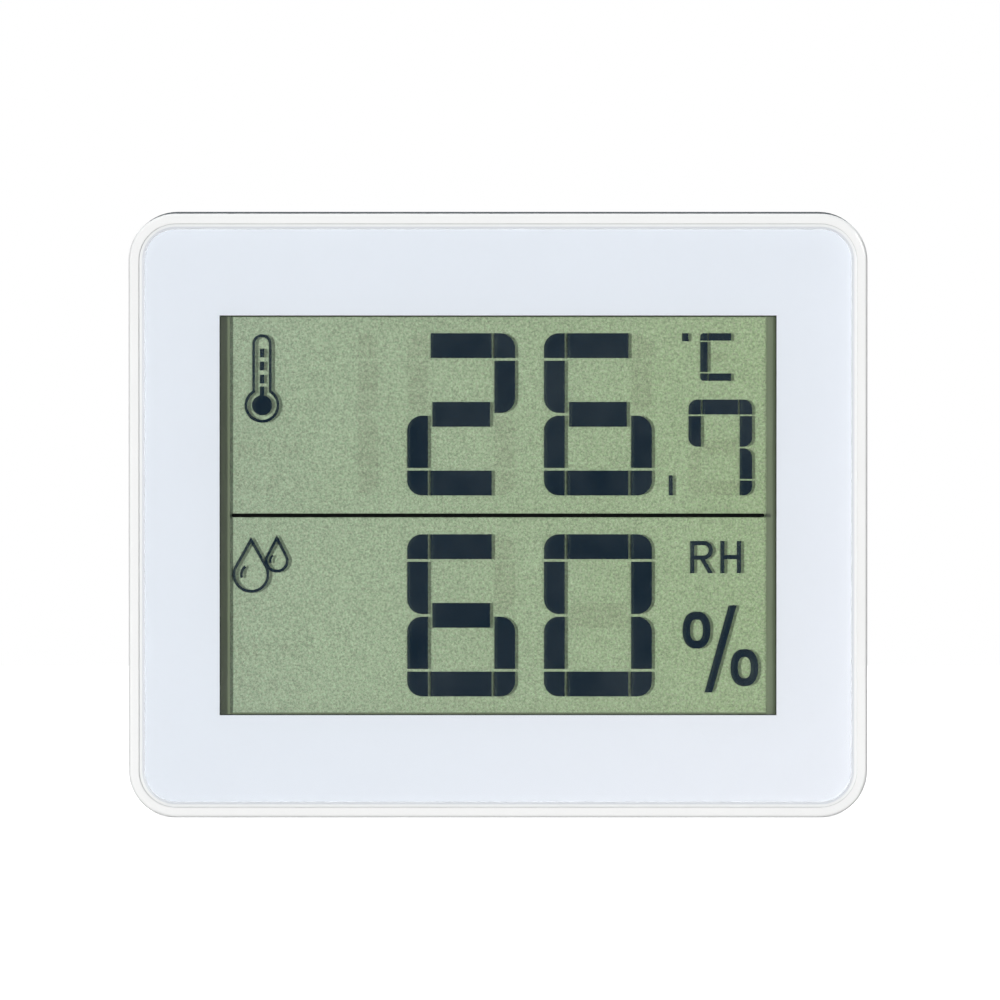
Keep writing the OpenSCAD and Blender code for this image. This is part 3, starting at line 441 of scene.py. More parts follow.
@dataclass(frozen=True)
class BevelPaintedLight(Finish):
    """The panel's polished bevel under a bead that carries painted light: a painted highlight band, with
    painted shade at the gap and just inside the bevel; it fades out inwards.
    """

    tone: Colour
    gap_painted_shade: Colour
    inner: Colour
    gap_painted_shade_end: float
    line: float
    fade: float

    def paint(self, shader: Shader) -> None:
        """Joins up the bead's nodes by the ring's own UV: V runs from the rim inwards, through the painted
        gap shade, the painted highlight and the painted shade inside the bevel.
        """
        inward = shader.part(shader.add("UVMap").outputs["UV"], "Y")
        clear = shader.spread(inward, 0.0, 1.0, self.gap_painted_shade_end * 0.6, self.gap_painted_shade_end, smooth=True)
        share = shader.spread(inward, 0.0, 1.0, self.line - 0.1, self.line + 0.05, smooth=True)
        streaks = shader.uneven(1.0, 0.015, 0.01, cells=400.0)
        # Painted light: the darker seam tone paints the gap's shade, the pale main tone paints the bevel's
        # highlight and the inner tone paints shade just inside the bevel.
        bevel = shader.mixed(share, shader.mixed(clear, self.gap_painted_shade, self.tone), self.inner)
        shader.finish({
            "Base Color": shader.shaded(bevel, streaks),
            "Roughness": 0.3,
            "Specular IOR Level": 0.2,
            "Alpha": shader.spread(inward, 1.0, 0.0, from_low=self.fade, smooth=True),
        })


@dataclass(frozen=True)
class LiquidCrystal(Finish):
    """A segment between the glasses: a thin tinted layer that shades what lies behind it."""

    tone: Colour
    through: float
    grain: float

    def paint(self, shader: Shader) -> None:
        """Joins up the segment's nodes. Light passes two faces, so each takes the root of the share."""
        cover = 1.0 - math.sqrt(self.through)
        spots = shader.effect(Effect.SPECKLE, Cells=5200.0, Spread=self.grain)
        clouds = shader.uneven(1.0, 0.015, 0.015, cells=70.0)
        shader.finish({
            "Base Color": shader.shaded(self.tone, spots),
            "Roughness": 0.5,
            "Specular IOR Level": 0.0,
            "Alpha": shader.math("MULTIPLY", clouds, cover, clamp=True),
        })


@dataclass(frozen=True)
class ReflectorFilm(Finish):
    """Grey-green diffusing film with a fine sparkle, the ground of the display."""

    tone: Colour
    right_tone: Colour
    warm: Colour
    half: float

    def paint(self, shader: Shader) -> None:
        """Joins up the film's nodes: its tone turns yellower towards the right."""
        fine = shader.effect(Effect.SPECKLE, Cells=3600.0, Spread=0.45)
        broad = shader.effect(Effect.SPECKLE, Cells=1500.0, Spread=0.08)
        hue = shader.effect(Effect.PATCHES, Cells=2400.0, Low=0.0, High=0.6)
        share = shader.spread(shader.part(shader.place, "X"), 0.0, 1.0, -self.half, self.half)
        ground = shader.mixed(share, self.tone, self.right_tone)
        tone = shader.shaded(shader.mixed(hue, ground, self.warm), shader.product(fine, broad))
        shader.finish({
            "Base Color": tone,
            "Roughness": 0.6,
            "Normal": shader.bump(fine, 0.006 * MM, 0.4),
            "Specular IOR Level": 0.25,
        })


@dataclass(frozen=True)
class SealGlue(Finish):
    """Olive edge seal of the cell, streaked along its run, with painted shade that darkens it towards the
    outside, under the window's edge.
    """

    tone: Colour
    edge_painted_shade: Colour
    clear_half: float
    width: float = 2.2 * MM

    def paint(self, shader: Shader) -> None:
        """Joins up the seal's nodes: the share of painted shade grows with the distance from the clear area.
        """
        across = shader.math("ABSOLUTE", shader.part(shader.place, "X"))
        share = shader.spread(across, 0.0, 1.0, self.clear_half, self.clear_half + self.width, smooth=True)
        streaks = shader.effect(Effect.BRUSHING, Cells=1600.0)
        value = shader.spread(streaks, 0.9, 1.1, from_low=0.3, from_high=0.7)
        shader.finish({
            "Base Color": shader.shaded(shader.mixed(share, self.tone, self.edge_painted_shade), value),
            "Roughness": 0.45,
        })


@dataclass(frozen=True)
class Foam(Finish):
    """Black foam tape with open cells."""

    tone: Colour

    def paint(self, shader: Shader) -> None:
        """Joins up the foam's nodes."""
        cells = shader.add("TexVoronoi", {"Vector": shader.place, "Scale": 5200.0}).outputs["Distance"]
        shader.finish({
            "Base Color": shader.shaded(self.tone, shader.spread(cells, 0.6, 1.3)),
            "Roughness": 0.9,
            "Normal": shader.bump(cells, 0.05 * MM, 0.8),
        })


@dataclass(frozen=True)
class CircuitBoard(Finish):
    """Green solder mask over copper tracks, with tinned pads."""

    mask: Colour
    track: Colour
    tin: Colour
    pitch: float = 1.27 * MM

    def paint(self, shader: Shader) -> None:
        """Joins up the board's nodes: bricks make the tracks and a grid of round cells the pads."""
        turned = shader.add("Mapping", {"Vector": shader.place, "Rotation": (TURN / 4, 0.0, 0.0)})
        flat = turned.outputs["Vector"]
        bricks = shader.add("TexBrick", {"Vector": flat, "Scale": 1 / (6 * self.pitch), "Mortar Size": 0.055,
                                         "Mortar Smooth": 0.1}, offset=0.37, squash=0.6)
        tracks = bricks.outputs["Fac"]
        cells = shader.add("TexVoronoi", {"Vector": flat, "Scale": 1 / (4 * self.pitch), "Randomness": 0.35})
        pads = shader.spread(cells.outputs["Distance"], 1.0, 0.0, from_low=0.1, from_high=0.14)
        green = shader.mixed(shader.product(tracks, 0.6), self.mask, self.track)
        shade = shader.uneven(1.0, 0.08, 0.06, cells=300.0)
        shader.finish({
            "Base Color": shader.mixed(pads, shader.shaded(green, shade), self.tin),
            "Roughness": shader.spread(pads, 0.34, 0.22),
            "Metallic": pads,
            "Normal": shader.bump(shader.math("ADD", tracks, pads), 0.03 * MM, 0.7),
        })


@dataclass(frozen=True)
class BrightMetal(Finish):
    """Nickel-plated steel with drawing lines and faint tarnish."""

    tone: Colour
    roughness: float = 0.24
    edge: float = 0.08 * MM

    def paint(self, shader: Shader) -> None:
        """Joins up the metal's nodes."""
        lines = shader.effect(Effect.BRUSHING, Cells=2600.0)
        tarnish = shader.uneven(1.0, 0.14, 0.03, cells=420.0)
        soft = shader.add("Bevel", {"Radius": self.edge}, samples=4).outputs["Normal"]
        shader.finish({
            "Base Color": shader.shaded(self.tone, tarnish),
            "Metallic": 1.0,
            "Roughness": shader.spread(lines, self.roughness - 0.06, self.roughness + 0.12, 0.3, 0.7),
            "Normal": shader.bump(lines, 0.004 * MM, 0.6, soft),
        })


@dataclass(frozen=True)
class CellSleeve(Finish):
    """Printed sleeve of a cell over its steel can, by the piece's own UV: V runs from - to +."""

    body: Colour
    band: Colour
    mark: Colour
    steel: Colour
    sleeve: tuple[float, float] = (0.035, 0.935)
    pale: tuple[float, float] = (0.7, 0.78)
    plus: float = 0.86
    minus: float = 0.1
    flat_bar: tuple[float, float] = (0.05, 0.012)
    tall_bar: tuple[float, float] = (0.0115, 0.052)

    def paint(self, shader: Shader) -> None:
        """Joins up the sleeve's nodes: steel ends, a wide body colour, a pale band and two signs."""
        unrolled = shader.add("UVMap").outputs["UV"]
        across, up = shader.part(unrolled, "X"), shader.part(unrolled, "Y")
        inside = self.between(shader, up, *self.sleeve)
        cloth = shader.mixed(self.between(shader, up, *self.pale), self.body, self.band)
        cross = shader.math("MAXIMUM", self.bar(shader, across, up, self.plus, *self.flat_bar),
                            self.bar(shader, across, up, self.plus, *self.tall_bar))
        signs = shader.math("MAXIMUM", cross, self.bar(shader, across, up, self.minus, *self.flat_bar))
        printed = shader.mixed(signs, cloth, self.mark)
        lines = shader.effect(Effect.BRUSHING, Cells=2600.0)
        shader.finish({
            "Base Color": shader.shaded(shader.mixed(inside, self.steel, printed),
                                        shader.uneven(1.0, 0.07, 0.05, cells=500.0)),
            "Metallic": shader.math("SUBTRACT", 1.0, inside),
            "Roughness": shader.spread(lines, 0.22, 0.36, from_low=0.3, from_high=0.7),
        })

    def between(self, shader: Shader, value: Any, low: float, high: float) -> bpy.types.NodeSocket:
        """1 where a value lies between two limits."""
        return shader.product(shader.math("GREATER_THAN", value, low), shader.math("LESS_THAN", value, high))

    def bar(self, shader: Shader, across: Any, up: Any, height: float, half_across: float,
            half_up: float) -> bpy.types.NodeSocket:
        """One printed bar, repeated on both sides of the cell."""
        turned = shader.math("FRACT", shader.product(across, 2.0))
        side = shader.math("ABSOLUTE", shader.math("SUBTRACT", turned, 0.5))
        level = shader.math("ABSOLUTE", shader.math("SUBTRACT", up, height))
        return shader.product(shader.math("LESS_THAN", side, half_across),
                              shader.math("LESS_THAN", level, half_up))


@dataclass(frozen=True)
class SoftCoat(Finish):
    """Vinyl, rubber or resin: an even colour with a skin of fine ripples and a soft gloss."""

    tone: Colour
    roughness: float
    coat: float = 0.0
    coat_roughness: float = 0.12
    ripple: float = 0.01 * MM

    def paint(self, shader: Shader) -> None:
        """Joins up the skin's nodes."""
        grain = shader.placed(Effect.MOULD_GRAIN, Cells=2400.0)
        clouds = shader.uneven(1.0, 0.1, 0.08, cells=260.0)
        shader.finish({
            "Base Color": shader.shaded(self.tone, shader.product(grain["Shade"], clouds)),
            "Roughness": shader.uneven(self.roughness, 0.05, 0.06, cells=700.0),
            "Coat Weight": self.coat,
            "Coat Roughness": self.coat_roughness,
            "Normal": shader.bump(grain["Height"], self.ripple, 0.8),
        })


@dataclass(frozen=True)
class LayeredRubber(Finish):
    """Contact strip of thin conducting and clear layers, stacked along X."""

    tone: Colour
    carbon: Colour
    pitch: float = 0.1 * MM

    def paint(self, shader: Shader) -> None:
        """Joins up the strip's nodes."""
        settings = {"Vector": shader.place, "Scale": 1 / (20 * self.pitch), "Distortion": 0.2}
        wave = shader.add("TexWave", settings, bands_direction="X").outputs["Fac"]
        stripes = shader.spread(wave, 0.0, 1.0, from_low=0.45, from_high=0.55)
        shader.finish({
            "Base Color": shader.mixed(stripes, self.tone, self.carbon),
            "Roughness": 0.5,
            "Normal": shader.bump(wave, 0.01 * MM, 0.5),
        })


FINISHES: tuple[Finish, ...] = (
    # The bevel bead's tones are painted light: a pale highlight, a darker gap shade and a shade just inside
    # the bevel.
    BevelPaintedLight("panel_edge_painted_light", srgb(246, 247, 247), srgb(206, 207, 206), srgb(222, 225, 230), 0.12, 0.5, 0.62),
    MouldedPlastic("case_white", srgb(252, 252, 251), gloss=1.0),
    ClearSheet("panel_clear", (0.96, 0.98, 1.0), 0.3),
    # The two print tones paint shade: darker at the upper left, lighter at the lower right.
    PanelPrint("panel_white", srgb(232, 237, 244), srgb(236, 239, 245), (14.0, 0.0, -14.0)),
    Ink("print_black", srgb(5, 8, 5)),
    Foam("tape_black", srgb(34, 40, 32)),
    ClearSheet("lcd_film", (0.85, 0.95, 0.9), 0.12, 1.49, 0.2),
    ClearSheet("lcd_glass", (0.85, 0.97, 0.93), 0.08, 1.52, 0.03),
    LiquidCrystal("segment_dark", (0.0, 0.012, 0.03), 0.062, 0.25),
    LiquidCrystal("segment_idle", (0.16, 0.04, 0.055), 0.94, 0.1),
    # The seal's darker outer tone is painted shade under the window's edge.
    SealGlue("seal_olive", srgb(84, 101, 60), srgb(70, 85, 50), 40 * MM),
    ReflectorFilm("reflector_green", srgb(153, 178, 147), srgb(150, 179, 129), srgb(171, 174, 151), 41 * MM),
    MouldedPlastic("carrier_plastic", srgb(218, 218, 214), 0.5),
    LayeredRubber("zebra_pink", srgb(214, 140, 150), srgb(60, 50, 54)),
    CircuitBoard("board_green", srgb(24, 92, 56), srgb(48, 128, 74), srgb(214, 214, 210)),
    SoftCoat("part_black", srgb(30, 30, 32), 0.3, 0.4),
    SoftCoat("part_tan", srgb(186, 156, 116), 0.45),
    MouldedPlastic("sensor_white", srgb(232, 228, 214), 0.45, 5200.0),
    BrightMetal("metal_bright", srgb(222, 220, 214)),
    CellSleeve("cell_sleeve", srgb(38, 62, 98), srgb(216, 220, 224), srgb(236, 236, 232),
               srgb(206, 206, 204)),
    SoftCoat("wire_red", srgb(176, 30, 26), 0.4, 0.2),
    SoftCoat("wire_black", srgb(26, 26, 28), 0.4, 0.2),
)


@dataclass
class Surface:
    """A closed surface: points, four-sided and three-sided faces, and each quad corner's UV."""

    points: np.ndarray
    quads: np.ndarray
    triangles: np.ndarray
    quad_uv: np.ndarray | None = None

    def joined(self, other: "Surface") -> "Surface":
        """This surface and another one as one."""
        step = len(self.points)
        return Surface(np.vstack([self.points, other.points]), np.vstack([self.quads, other.quads + step]),
                       np.vstack([self.triangles, other.triangles + step]))

    def moved(self, place: Iterable[float]) -> "Surface":
        """This surface carried to a place."""
        return Surface(self.points + np.asarray(place), self.quads, self.triangles, self.quad_uv)

    def along_y(self) -> "Surface":
        """This surface turned so that its Z axis points along +Y."""
        turned = self.points[:, [0, 2, 1]] * np.array([-1.0, 1.0, 1.0])
        return Surface(turned, self.quads, self.triangles, self.quad_uv)

    def upside_down(self) -> "Surface":
        """This surface turned half round about X."""
        return Surface(self.points * np.array([1.0, -1.0, -1.0]), self.quads, self.triangles, self.quad_uv)


def grid_faces(rings: int, sides: int, close_rings: bool = False) -> np.ndarray:
    """Quads of a grid of rings whose last column joins its first, with outward faces if rings rise."""
    steps = rings if close_rings else rings - 1
    ring, side = np.meshgrid(np.arange(steps), np.arange(sides), indexing="ij")
    after, beside = (ring + 1) % rings, (side + 1) % sides
    corners = [ring * sides + side, ring * sides + beside, after * sides + beside, after * sides + side]
    return np.stack(corners, axis=-1).reshape(-1, 4)


def pole_fans(rings: int, sides: int) -> np.ndarray:
    """Triangles that close a grid's first ring to the point after it, and its last ring to the next point."""
    step, beside = np.arange(sides), (np.arange(sides) + 1) % sides
    pole, last = np.full(sides, rings * sides), (rings - 1) * sides
    return np.vstack([np.stack([pole, beside, step], axis=-1),
                      np.stack([pole + 1, last + step, last + beside], axis=-1)])


def face_of(low: Vector, high: Vector) -> tuple[tuple[float, float], tuple[float, float]]:
    """A box's middle in X and Z, and half its width and height."""
    return ((low.x + high.x) / 2, (low.z + high.z) / 2), ((high.x - low.x) / 2, (high.z - low.z) / 2)


def revolve(profile: np.ndarray, sides: int) -> Surface:
    """Turns a profile about Z: a point is (r cos a, r sin a, h), and each end is one pole.

    Args:
        profile: radii and heights from the lower pole to the upper one, with radius 0 at both ends.
        sides: how many steps go round.

    Returns:
        The closed surface, with U round it and V from the lower pole to the upper one.
    """
    angle = np.arange(sides) * TURN / sides
    radius, height = profile[1:-1, 0], profile[1:-1, 1]
    rings = len(radius)
    ring = np.stack([np.outer(radius, np.cos(angle)), np.outer(radius, np.sin(angle)),
                     np.repeat(height[:, None], sides, axis=1)], axis=-1).reshape(-1, 3)
    poles = np.array([[0.0, 0.0, profile[0, 1]], [0.0, 0.0, profile[-1, 1]]])
    share = (height - profile[0, 1]) / (profile[-1, 1] - profile[0, 1])
    row, side = np.meshgrid(np.arange(rings - 1), np.arange(sides), indexing="ij")
    u = np.stack([side, side + 1, side + 1, side], axis=-1) / sides
    v = np.stack([share[row], share[row], share[row + 1], share[row + 1]], axis=-1)
    return Surface(np.vstack([ring, poles]), grid_faces(rings, sides), pole_fans(rings, sides),
                   np.stack([u, v], axis=-1).reshape(-1, 4, 2))


def band(section: np.ndarray, centre: tuple[float, float], half: tuple[float, float], radius: float,
         steps: int) -> Surface:
    """A closed ring round a rounded rectangle in the XZ plane.

    A point of the ring is corner centre + (radius + d)(cos a, sin a), at depth y. The corner centres stay,
    so the straight sides run between the corners' ends.

    Args:
        section: the ring's cross-section: offset d outwards from the rectangle, depth y, and V.
        centre: the rectangle's middle.
        half: half its width and half its height.
        radius: its corner radius.
        steps: how many steps a corner has.

    Returns:
        The closed surface, with U round the ring and V from the section.
    """
    quarter = np.linspace(0.0, TURN / 4, steps + 1)
    angle = (np.arange(4)[:, None] * TURN / 4 + quarter).ravel()
    signs = np.repeat(np.array([[1, 1], [-1, 1], [-1, -1], [1, -1]]), steps + 1, axis=0)
    corner = np.asarray(centre) + signs * (np.asarray(half) - radius)
    reach = radius + section[:, 0]
    x = corner[:, 0] + reach[:, None] * np.cos(angle)
    z = corner[:, 1] + reach[:, None] * np.sin(angle)
    y = np.repeat(section[:, 1][:, None], len(angle), axis=1)
    rings, sides = x.shape
    faces = grid_faces(rings, sides, close_rings=True)
    row, side = np.meshgrid(np.arange(rings), np.arange(sides), indexing="ij")
    v, after = section[:, 2], (row + 1) % rings
    u_map = np.stack([side, side + 1, side + 1, side], axis=-1) / sides
    v_map = np.stack([v[row], v[row], v[after], v[after]], axis=-1)
    return Surface(np.stack([x, y, z], axis=-1).reshape(-1, 3), faces, np.zeros((0, 3), int),
                   np.stack([u_map, v_map], axis=-1).reshape(-1, 4, 2))


def slab(low: Vector, high: Vector, edge: float, radius: float, front: float, steps: int = 24) -> Surface:
    """A flat sheet that stands in the XZ plane, with ground edges and round corners.

    Its rows are bands round the same rounded rectangle, and a pole in the middle closes each face.

    Args:
        low: the sheet's lowest corner.
        high: its highest corner.
        edge: how far the back edge is ground off.
        radius: its corner radius.
        front: how far the front edge is ground off.
        steps: how many steps a corner has.

    Returns:
        The closed surface.
    """
    rows = np.array([[-edge, high.y, 0.0], [0.0, high.y - edge, 0.0], [0.0, low.y + front, 0.0],
                     [-front, low.y, 0.0]])
    centre, half = face_of(low, high)
    side = band(rows, centre, half, radius, steps)
    count = len(side.points) // len(rows)
    poles = np.array([[centre[0], high.y, centre[1]], [centre[0], low.y, centre[1]]])
    return Surface(np.vstack([side.points, poles]), grid_faces(len(rows), count), pole_fans(len(rows), count))


def rounded(start: Point, corner: Point, end: Point, steps: int = 5) -> np.ndarray:
    """A corner of a profile as a curve: start (1-t)^2 + corner 2t(1-t) + end t^2."""
    t = np.linspace(0.0, 1.0, steps)[:, None]
    first, middle, last = np.asarray(start), np.asarray(corner), np.asarray(end)
    return first * (1 - t) ** 2 + middle * 2 * t * (1 - t) + last * t ** 2


def sweep(path: np.ndarray, guide: Point, radius: float, sides: int) -> Surface:
    """A round tube along a path: each ring is centre + r (side cos a + up sin a).

    Args:
        path: the points that the tube follows.
        guide: a direction that the path never runs along. The rings' sides stand square to it.
        radius: the tube's radius.
        sides: how many points each ring has.

    Returns:
        The tube with a pole at each end.
    """
    ahead = np.gradient(path, axis=0)
    ahead /= np.linalg.norm(ahead, axis=1, keepdims=True)
    side = np.cross(np.asarray(guide), ahead)
    side /= np.linalg.norm(side, axis=1, keepdims=True)
    up = np.cross(ahead, side)
    angle = np.arange(sides) * TURN / sides
    ring = (path[:, None, :] + radius * (np.cos(angle)[None, :, None] * side[:, None, :]
                                         + np.sin(angle)[None, :, None] * up[:, None, :])).reshape(-1, 3)
    points = np.vstack([ring, path[:1], path[-1:]])
    return Surface(points, grid_faces(len(path), sides), pole_fans(len(path), sides))


class Workshop:
    """Turns surfaces into pieces, and dresses pieces and nodes with their finishes."""

    def __init__(self) -> None:
        """Reads each node's material slot from the frame, and builds every finish's material."""
        self.effects = Effects()
        self.nodes: dict[str, bpy.types.Object] = frame["nodes"]
        self.slots = {part["node"]: part["material_slot"] for part in frame["record"]["subparts"]}
        self.materials = {finish.name: finish.material(self.effects) for finish in FINISHES}

    def dress(self, *names: str) -> None:
        """Gives CAD nodes the finish of their slot."""
        for name in names:
            self.wear(self.nodes[name], self.slots[name])
            log.info("node %s dressed as %s", name, self.slots[name])

    def wear(self, piece: bpy.types.Object, slot: str) -> None:
        """Puts a finish on an object in place of what it had."""
        piece.data.materials.clear()
        piece.data.materials.append(self.materials[slot])

    def piece(self, name: str, surface: Surface, body: str, slot: str,
              sharp: float = 40.0) -> bpy.types.Object:
        """Makes a new piece of the object.

        Args:
            name: the piece's name.
            surface: its closed surface, in the frame's own axes.
            body: the body that it moves with.
            slot: the material slot that its finish comes from.
            sharp: faces that meet at more than this angle keep a crisp edge, in degrees.

        Returns:
            The piece.
        """
        made = self.solid(name, surface, sharp)
        self.wear(made, slot)
        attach(made, body)
        log.info("piece %s made with %d points", name, len(surface.points))
        return made

    def solid(self, name: str, surface: Surface, sharp: float) -> bpy.types.Object:
        """An object with a surface's mesh, smooth but for its crisp edges."""
        mesh = bpy.data.meshes.new(name)
        mesh.from_pydata(surface.points.tolist(), [], surface.quads.tolist() + surface.triangles.tolist())
        if surface.quad_uv is not None:
            layer = mesh.uv_layers.new(name="UVMap")
            flat = np.zeros((len(mesh.loops), 2), np.float32)
            flat[:surface.quad_uv.shape[0] * 4] = surface.quad_uv.reshape(-1, 2)
            flat[surface.quad_uv.shape[0] * 4:, 1] = self.pole_v(surface)
            layer.uv.foreach_set("vector", flat.ravel())
        mesh.polygons.foreach_set("use_smooth", np.ones(len(mesh.polygons), bool))
        mesh.set_sharp_from_angle(angle=math.radians(sharp))
        mesh.update()
        made = bpy.data.objects.new(name, mesh)
        bpy.context.scene.collection.objects.link(made)
        return made

    def pole_v(self, surface: Surface) -> np.ndarray:
        """V of the corners at the two poles: 0 for the lower fan and 1 for the upper one."""
        half = len(surface.triangles) // 2
        return np.repeat(np.array([0.0, 1.0]), [half * 3, half * 3])


@dataclass
class Case:
    """Both shells of the case and the screws that join them."""

    head_r: float = 2.1 * MM
    head_h: float = 1.5 * MM
    shank_r: float = 1.0 * MM
    thread_pitch: float = 0.8 * MM
    recess: float = 0.75 * MM
    recess_half: float = 0.3 * MM
    tip: float = 1.2 * MM
    ridge: float = 0.08 * MM
    dome: float = 0.06 * MM
    body: str = "case"

    def build(self, shop: Workshop) -> None:
        """Dresses the shells and makes the screws."""
        shop.dress("front_frame", "rear_cover")
        screws = self.screws()
        made = shop.piece("case_screw_set", screws, self.body, "metal_bright", 50.0)
        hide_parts("case_screws")

    def screws(self) -> Surface:
        """Four pan-head screws at the corners of the CAD screws' box."""
        low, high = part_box("case_screws")
        one = self.screw(high.y - low.y)
        places = [(x, low.y, z) for x in (low.x + self.head_r, high.x - self.head_r)
                  for z in (low.z + self.head_r, high.z - self.head_r)]
        whole = one.moved(places[0])
        for place in places[1:]:
            whole = whole.joined(one.moved(place))
        return whole

    def screw(self, length: float) -> Surface:
        """One screw along +Y from its tip: a cone, threads of r + a cos(2 pi h / pitch), and a domed head.

        Args:
            length: from the tip to the top of the head.

        Returns:
            The screw, with a cross recess pressed into the points of its head.
        """
        neck = length - self.head_h
        height = np.linspace(self.tip, neck - 0.4 * MM, 60)
        groove = self.shank_r - self.ridge + self.ridge * np.cos(height * TURN / self.thread_pitch)
        thread = np.stack([groove, height], axis=-1)
        crown_wide = self.head_r * 0.72
        rim = rounded((self.head_r, neck + 0.4 * MM), (self.head_r, length - 0.1 * MM),
                      (crown_wide, length - self.dome), 6)
        crown_r = np.linspace(self.head_r * 0.68, 0.02 * MM, 16)
        crown = np.stack([crown_r, length - self.dome * (crown_r / crown_wide) ** 2], axis=-1)
        profile = np.vstack([[[0.0, 0.0]], [[0.15 * MM, 0.05 * MM]], thread, [[self.shank_r, neck]],
                             [[self.head_r, neck]], rim, crown, [[0.0, length]]])
        made = revolve(profile, 72)
        return Surface(self.recessed(made.points, length), made.quads, made.triangles).along_y()

    def recessed(self, points: np.ndarray, length: float) -> np.ndarray:
        """Presses the cross into the head: down by depth times a soft mask of two crossing bars."""
        across = np.minimum(np.abs(points[:, 0]), np.abs(points[:, 1]))
        radius = np.hypot(points[:, 0], points[:, 1])
        reach = self.head_r * 0.62
        bar = np.clip((self.recess_half - across) / (0.12 * MM) + 0.5, 0.0, 1.0)
        inside = np.clip((reach - radius) / (0.15 * MM) + 0.5, 0.0, 1.0)
        top = points[:, 2] > length - 0.2 * MM
        slope = 0.35 + 0.65 * np.clip(1.0 - radius / reach, 0.0, 1.0)
        sunk = points.copy()
        sunk[:, 2] -= np.where(top, self.recess * bar * inside * slope, 0.0)
        return sunk


@dataclass
class FrontPanel:
    """The clear panel with its polished bevel, a bead of painted highlight and shade along the bevel, the
    print behind it and the tape round the window.
    """

    corner_r: float = 5.4 * MM
    gap: float = 0.1 * MM
    bevel: float = 0.45 * MM
    bead_high: float = 0.1 * MM
    bead_low: float = 0.055 * MM
    crest: float = 0.035 * MM
    skin: float = 0.01 * MM
    fade_out: float = 0.85 * MM
    back_edge: float = 0.1 * MM
    body: str = "case"

    def build(self, shop: Workshop) -> None:
        """Dresses the panel's layers, and makes the clear sheet and the bead of painted highlight and shade
        round its edge.
        """
        shop.dress("panel_print", "divider_print", "panel_tape")
        low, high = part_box("window_panel")
        sheet = slab(low, high - Vector((0.0, LAYER_GAP, 0.0)), self.back_edge, self.corner_r, self.bevel)
        made = shop.piece("window_panel_sheet", sheet, self.body, "panel_clear", 30.0)
        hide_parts("window_panel")
        ring = band(self.section(low.y), *face_of(low, high), self.corner_r, 24)
        made = shop.piece("panel_edge_painted_light_bead", ring, self.body, "panel_clear", 60.0)
        shop.wear(made, "panel_edge_painted_light")
        # The bead casts no shadow and takes no bounce light, so its painted highlight covers the rim's shadow
        # on the print.
        made.visible_shadow = False
        made.visible_diffuse = False

    def section(self, face: float) -> np.ndarray:
        """The bead's cross-section, from the recess wall over the bevel to a skin on the panel's face.

        Args:
            face: depth of the panel's front face.

        Returns:
            Rows of offset outwards, depth and V, first over the front and then back underneath.
        """
        front = np.array([
            [self.gap * 0.92, face - self.bead_high, 0.0],
            [self.gap * 0.5, face - self.bead_high * 0.8, 0.05],
            [0.0, face - self.bead_low * 1.1, 0.12],
            [-self.bevel * 0.4, face - self.bead_low, 0.3],
            [-self.bevel * 0.85, face - self.crest, 0.5],
            [-self.bevel, face - self.crest * 0.8, 0.56],
            [-self.bevel * 1.3, face - self.skin * 1.4, 0.68],
            [-self.fade_out, face - self.skin, 1.0],
        ])
        back = np.array([
            [-self.fade_out, face - self.skin * 0.4, 1.0],
            [-self.bevel, face - self.skin * 0.4, 0.56],
            [-self.bevel * 0.4, face + self.bevel * 0.5, 0.3],
            [self.gap * 0.92, face + self.bevel * 0.9, 0.0],
        ])
        return np.vstack([front, back])


@dataclass
class Display:
    """The liquid crystal cell, its films, its reflector and the frame that holds them."""

    corner_r: float = 0.6 * MM
    glass_edge: float = 0.15 * MM
    film_edge: float = 0.02 * MM
    body: str = "case"

    def build(self, shop: Workshop) -> None:
        """Dresses the segments and the frame, and makes the clear sheets from front to back."""
        shop.dress("lit_digits", "lit_symbols", "idle_segments", "display_seal", "display_reflector",
                   "display_carrier", "zebra_strip")
        apart = Vector((0.0, LAYER_GAP, 0.0))
        edges = {"display_front_polarizer": self.film_edge, "display_front_glass": self.glass_edge,
                 "display_rear_glass": self.glass_edge}
        for node, edge in edges.items():
            low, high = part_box(node)
            sheet = slab(low + apart, high - apart, edge, self.corner_r, edge, 6)
            made = shop.piece(node + "_sheet", sheet, self.body, shop.slots[node], 30.0)
            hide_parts(node)


@dataclass
class Electronics:
    """The board with its parts, and the leads from the battery contacts."""

    wire_r: float = 0.5 * MM
    stub: float = 0.3 * MM
    bow_tail: float = 2.4 * MM
    bow_pad: float = 6.0 * MM
    tail_half: float = 0.2 * MM
    body: str = "case"

    def build(self, shop: Workshop) -> None:
        """Dresses the board and makes the leads."""
        shop.dress("main_board", "chip_blob", "timing_crystal", "board_resistors", "board_capacitors",
                   "thermistor", "humidity_sensor", "switch_body", "carrier_screws", "board_screws")
        for lead, cell in (("wire_red", "battery_left"), ("wire_black", "battery_right")):
            made = shop.piece(lead + "_lead", self.lead(lead, cell), self.body, lead)
            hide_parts(lead)

    def lead(self, node: str, cell: str) -> Surface:
        """A lead from a contact's tail to its pad: a cubic curve with a straight stub at each end."""
        low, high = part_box(node)
        tail_y = (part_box(cell)[0].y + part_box(cell)[1].y) / 2 + self.tail_half
        start = np.array([high.x - self.wire_r, tail_y, low.z + self.wire_r])
        end = np.array([low.x + self.wire_r, low.y, high.z - self.wire_r])
        along = np.array([0.0, 1.0, 0.0])
        t = np.linspace(0.0, 1.0, 40)[:, None]
        curve = ((start + self.stub * along) * (1 - t) ** 3
                 + (start + self.bow_tail * along) * 3 * t * (1 - t) ** 2
                 + (end + self.bow_pad * along) * 3 * t ** 2 * (1 - t)
                 + (end + self.stub * along) * t ** 3)
        path = np.vstack([start, curve, end])
        return sweep(path, (1.0, 0.0, 0.0), self.wire_r, 20)


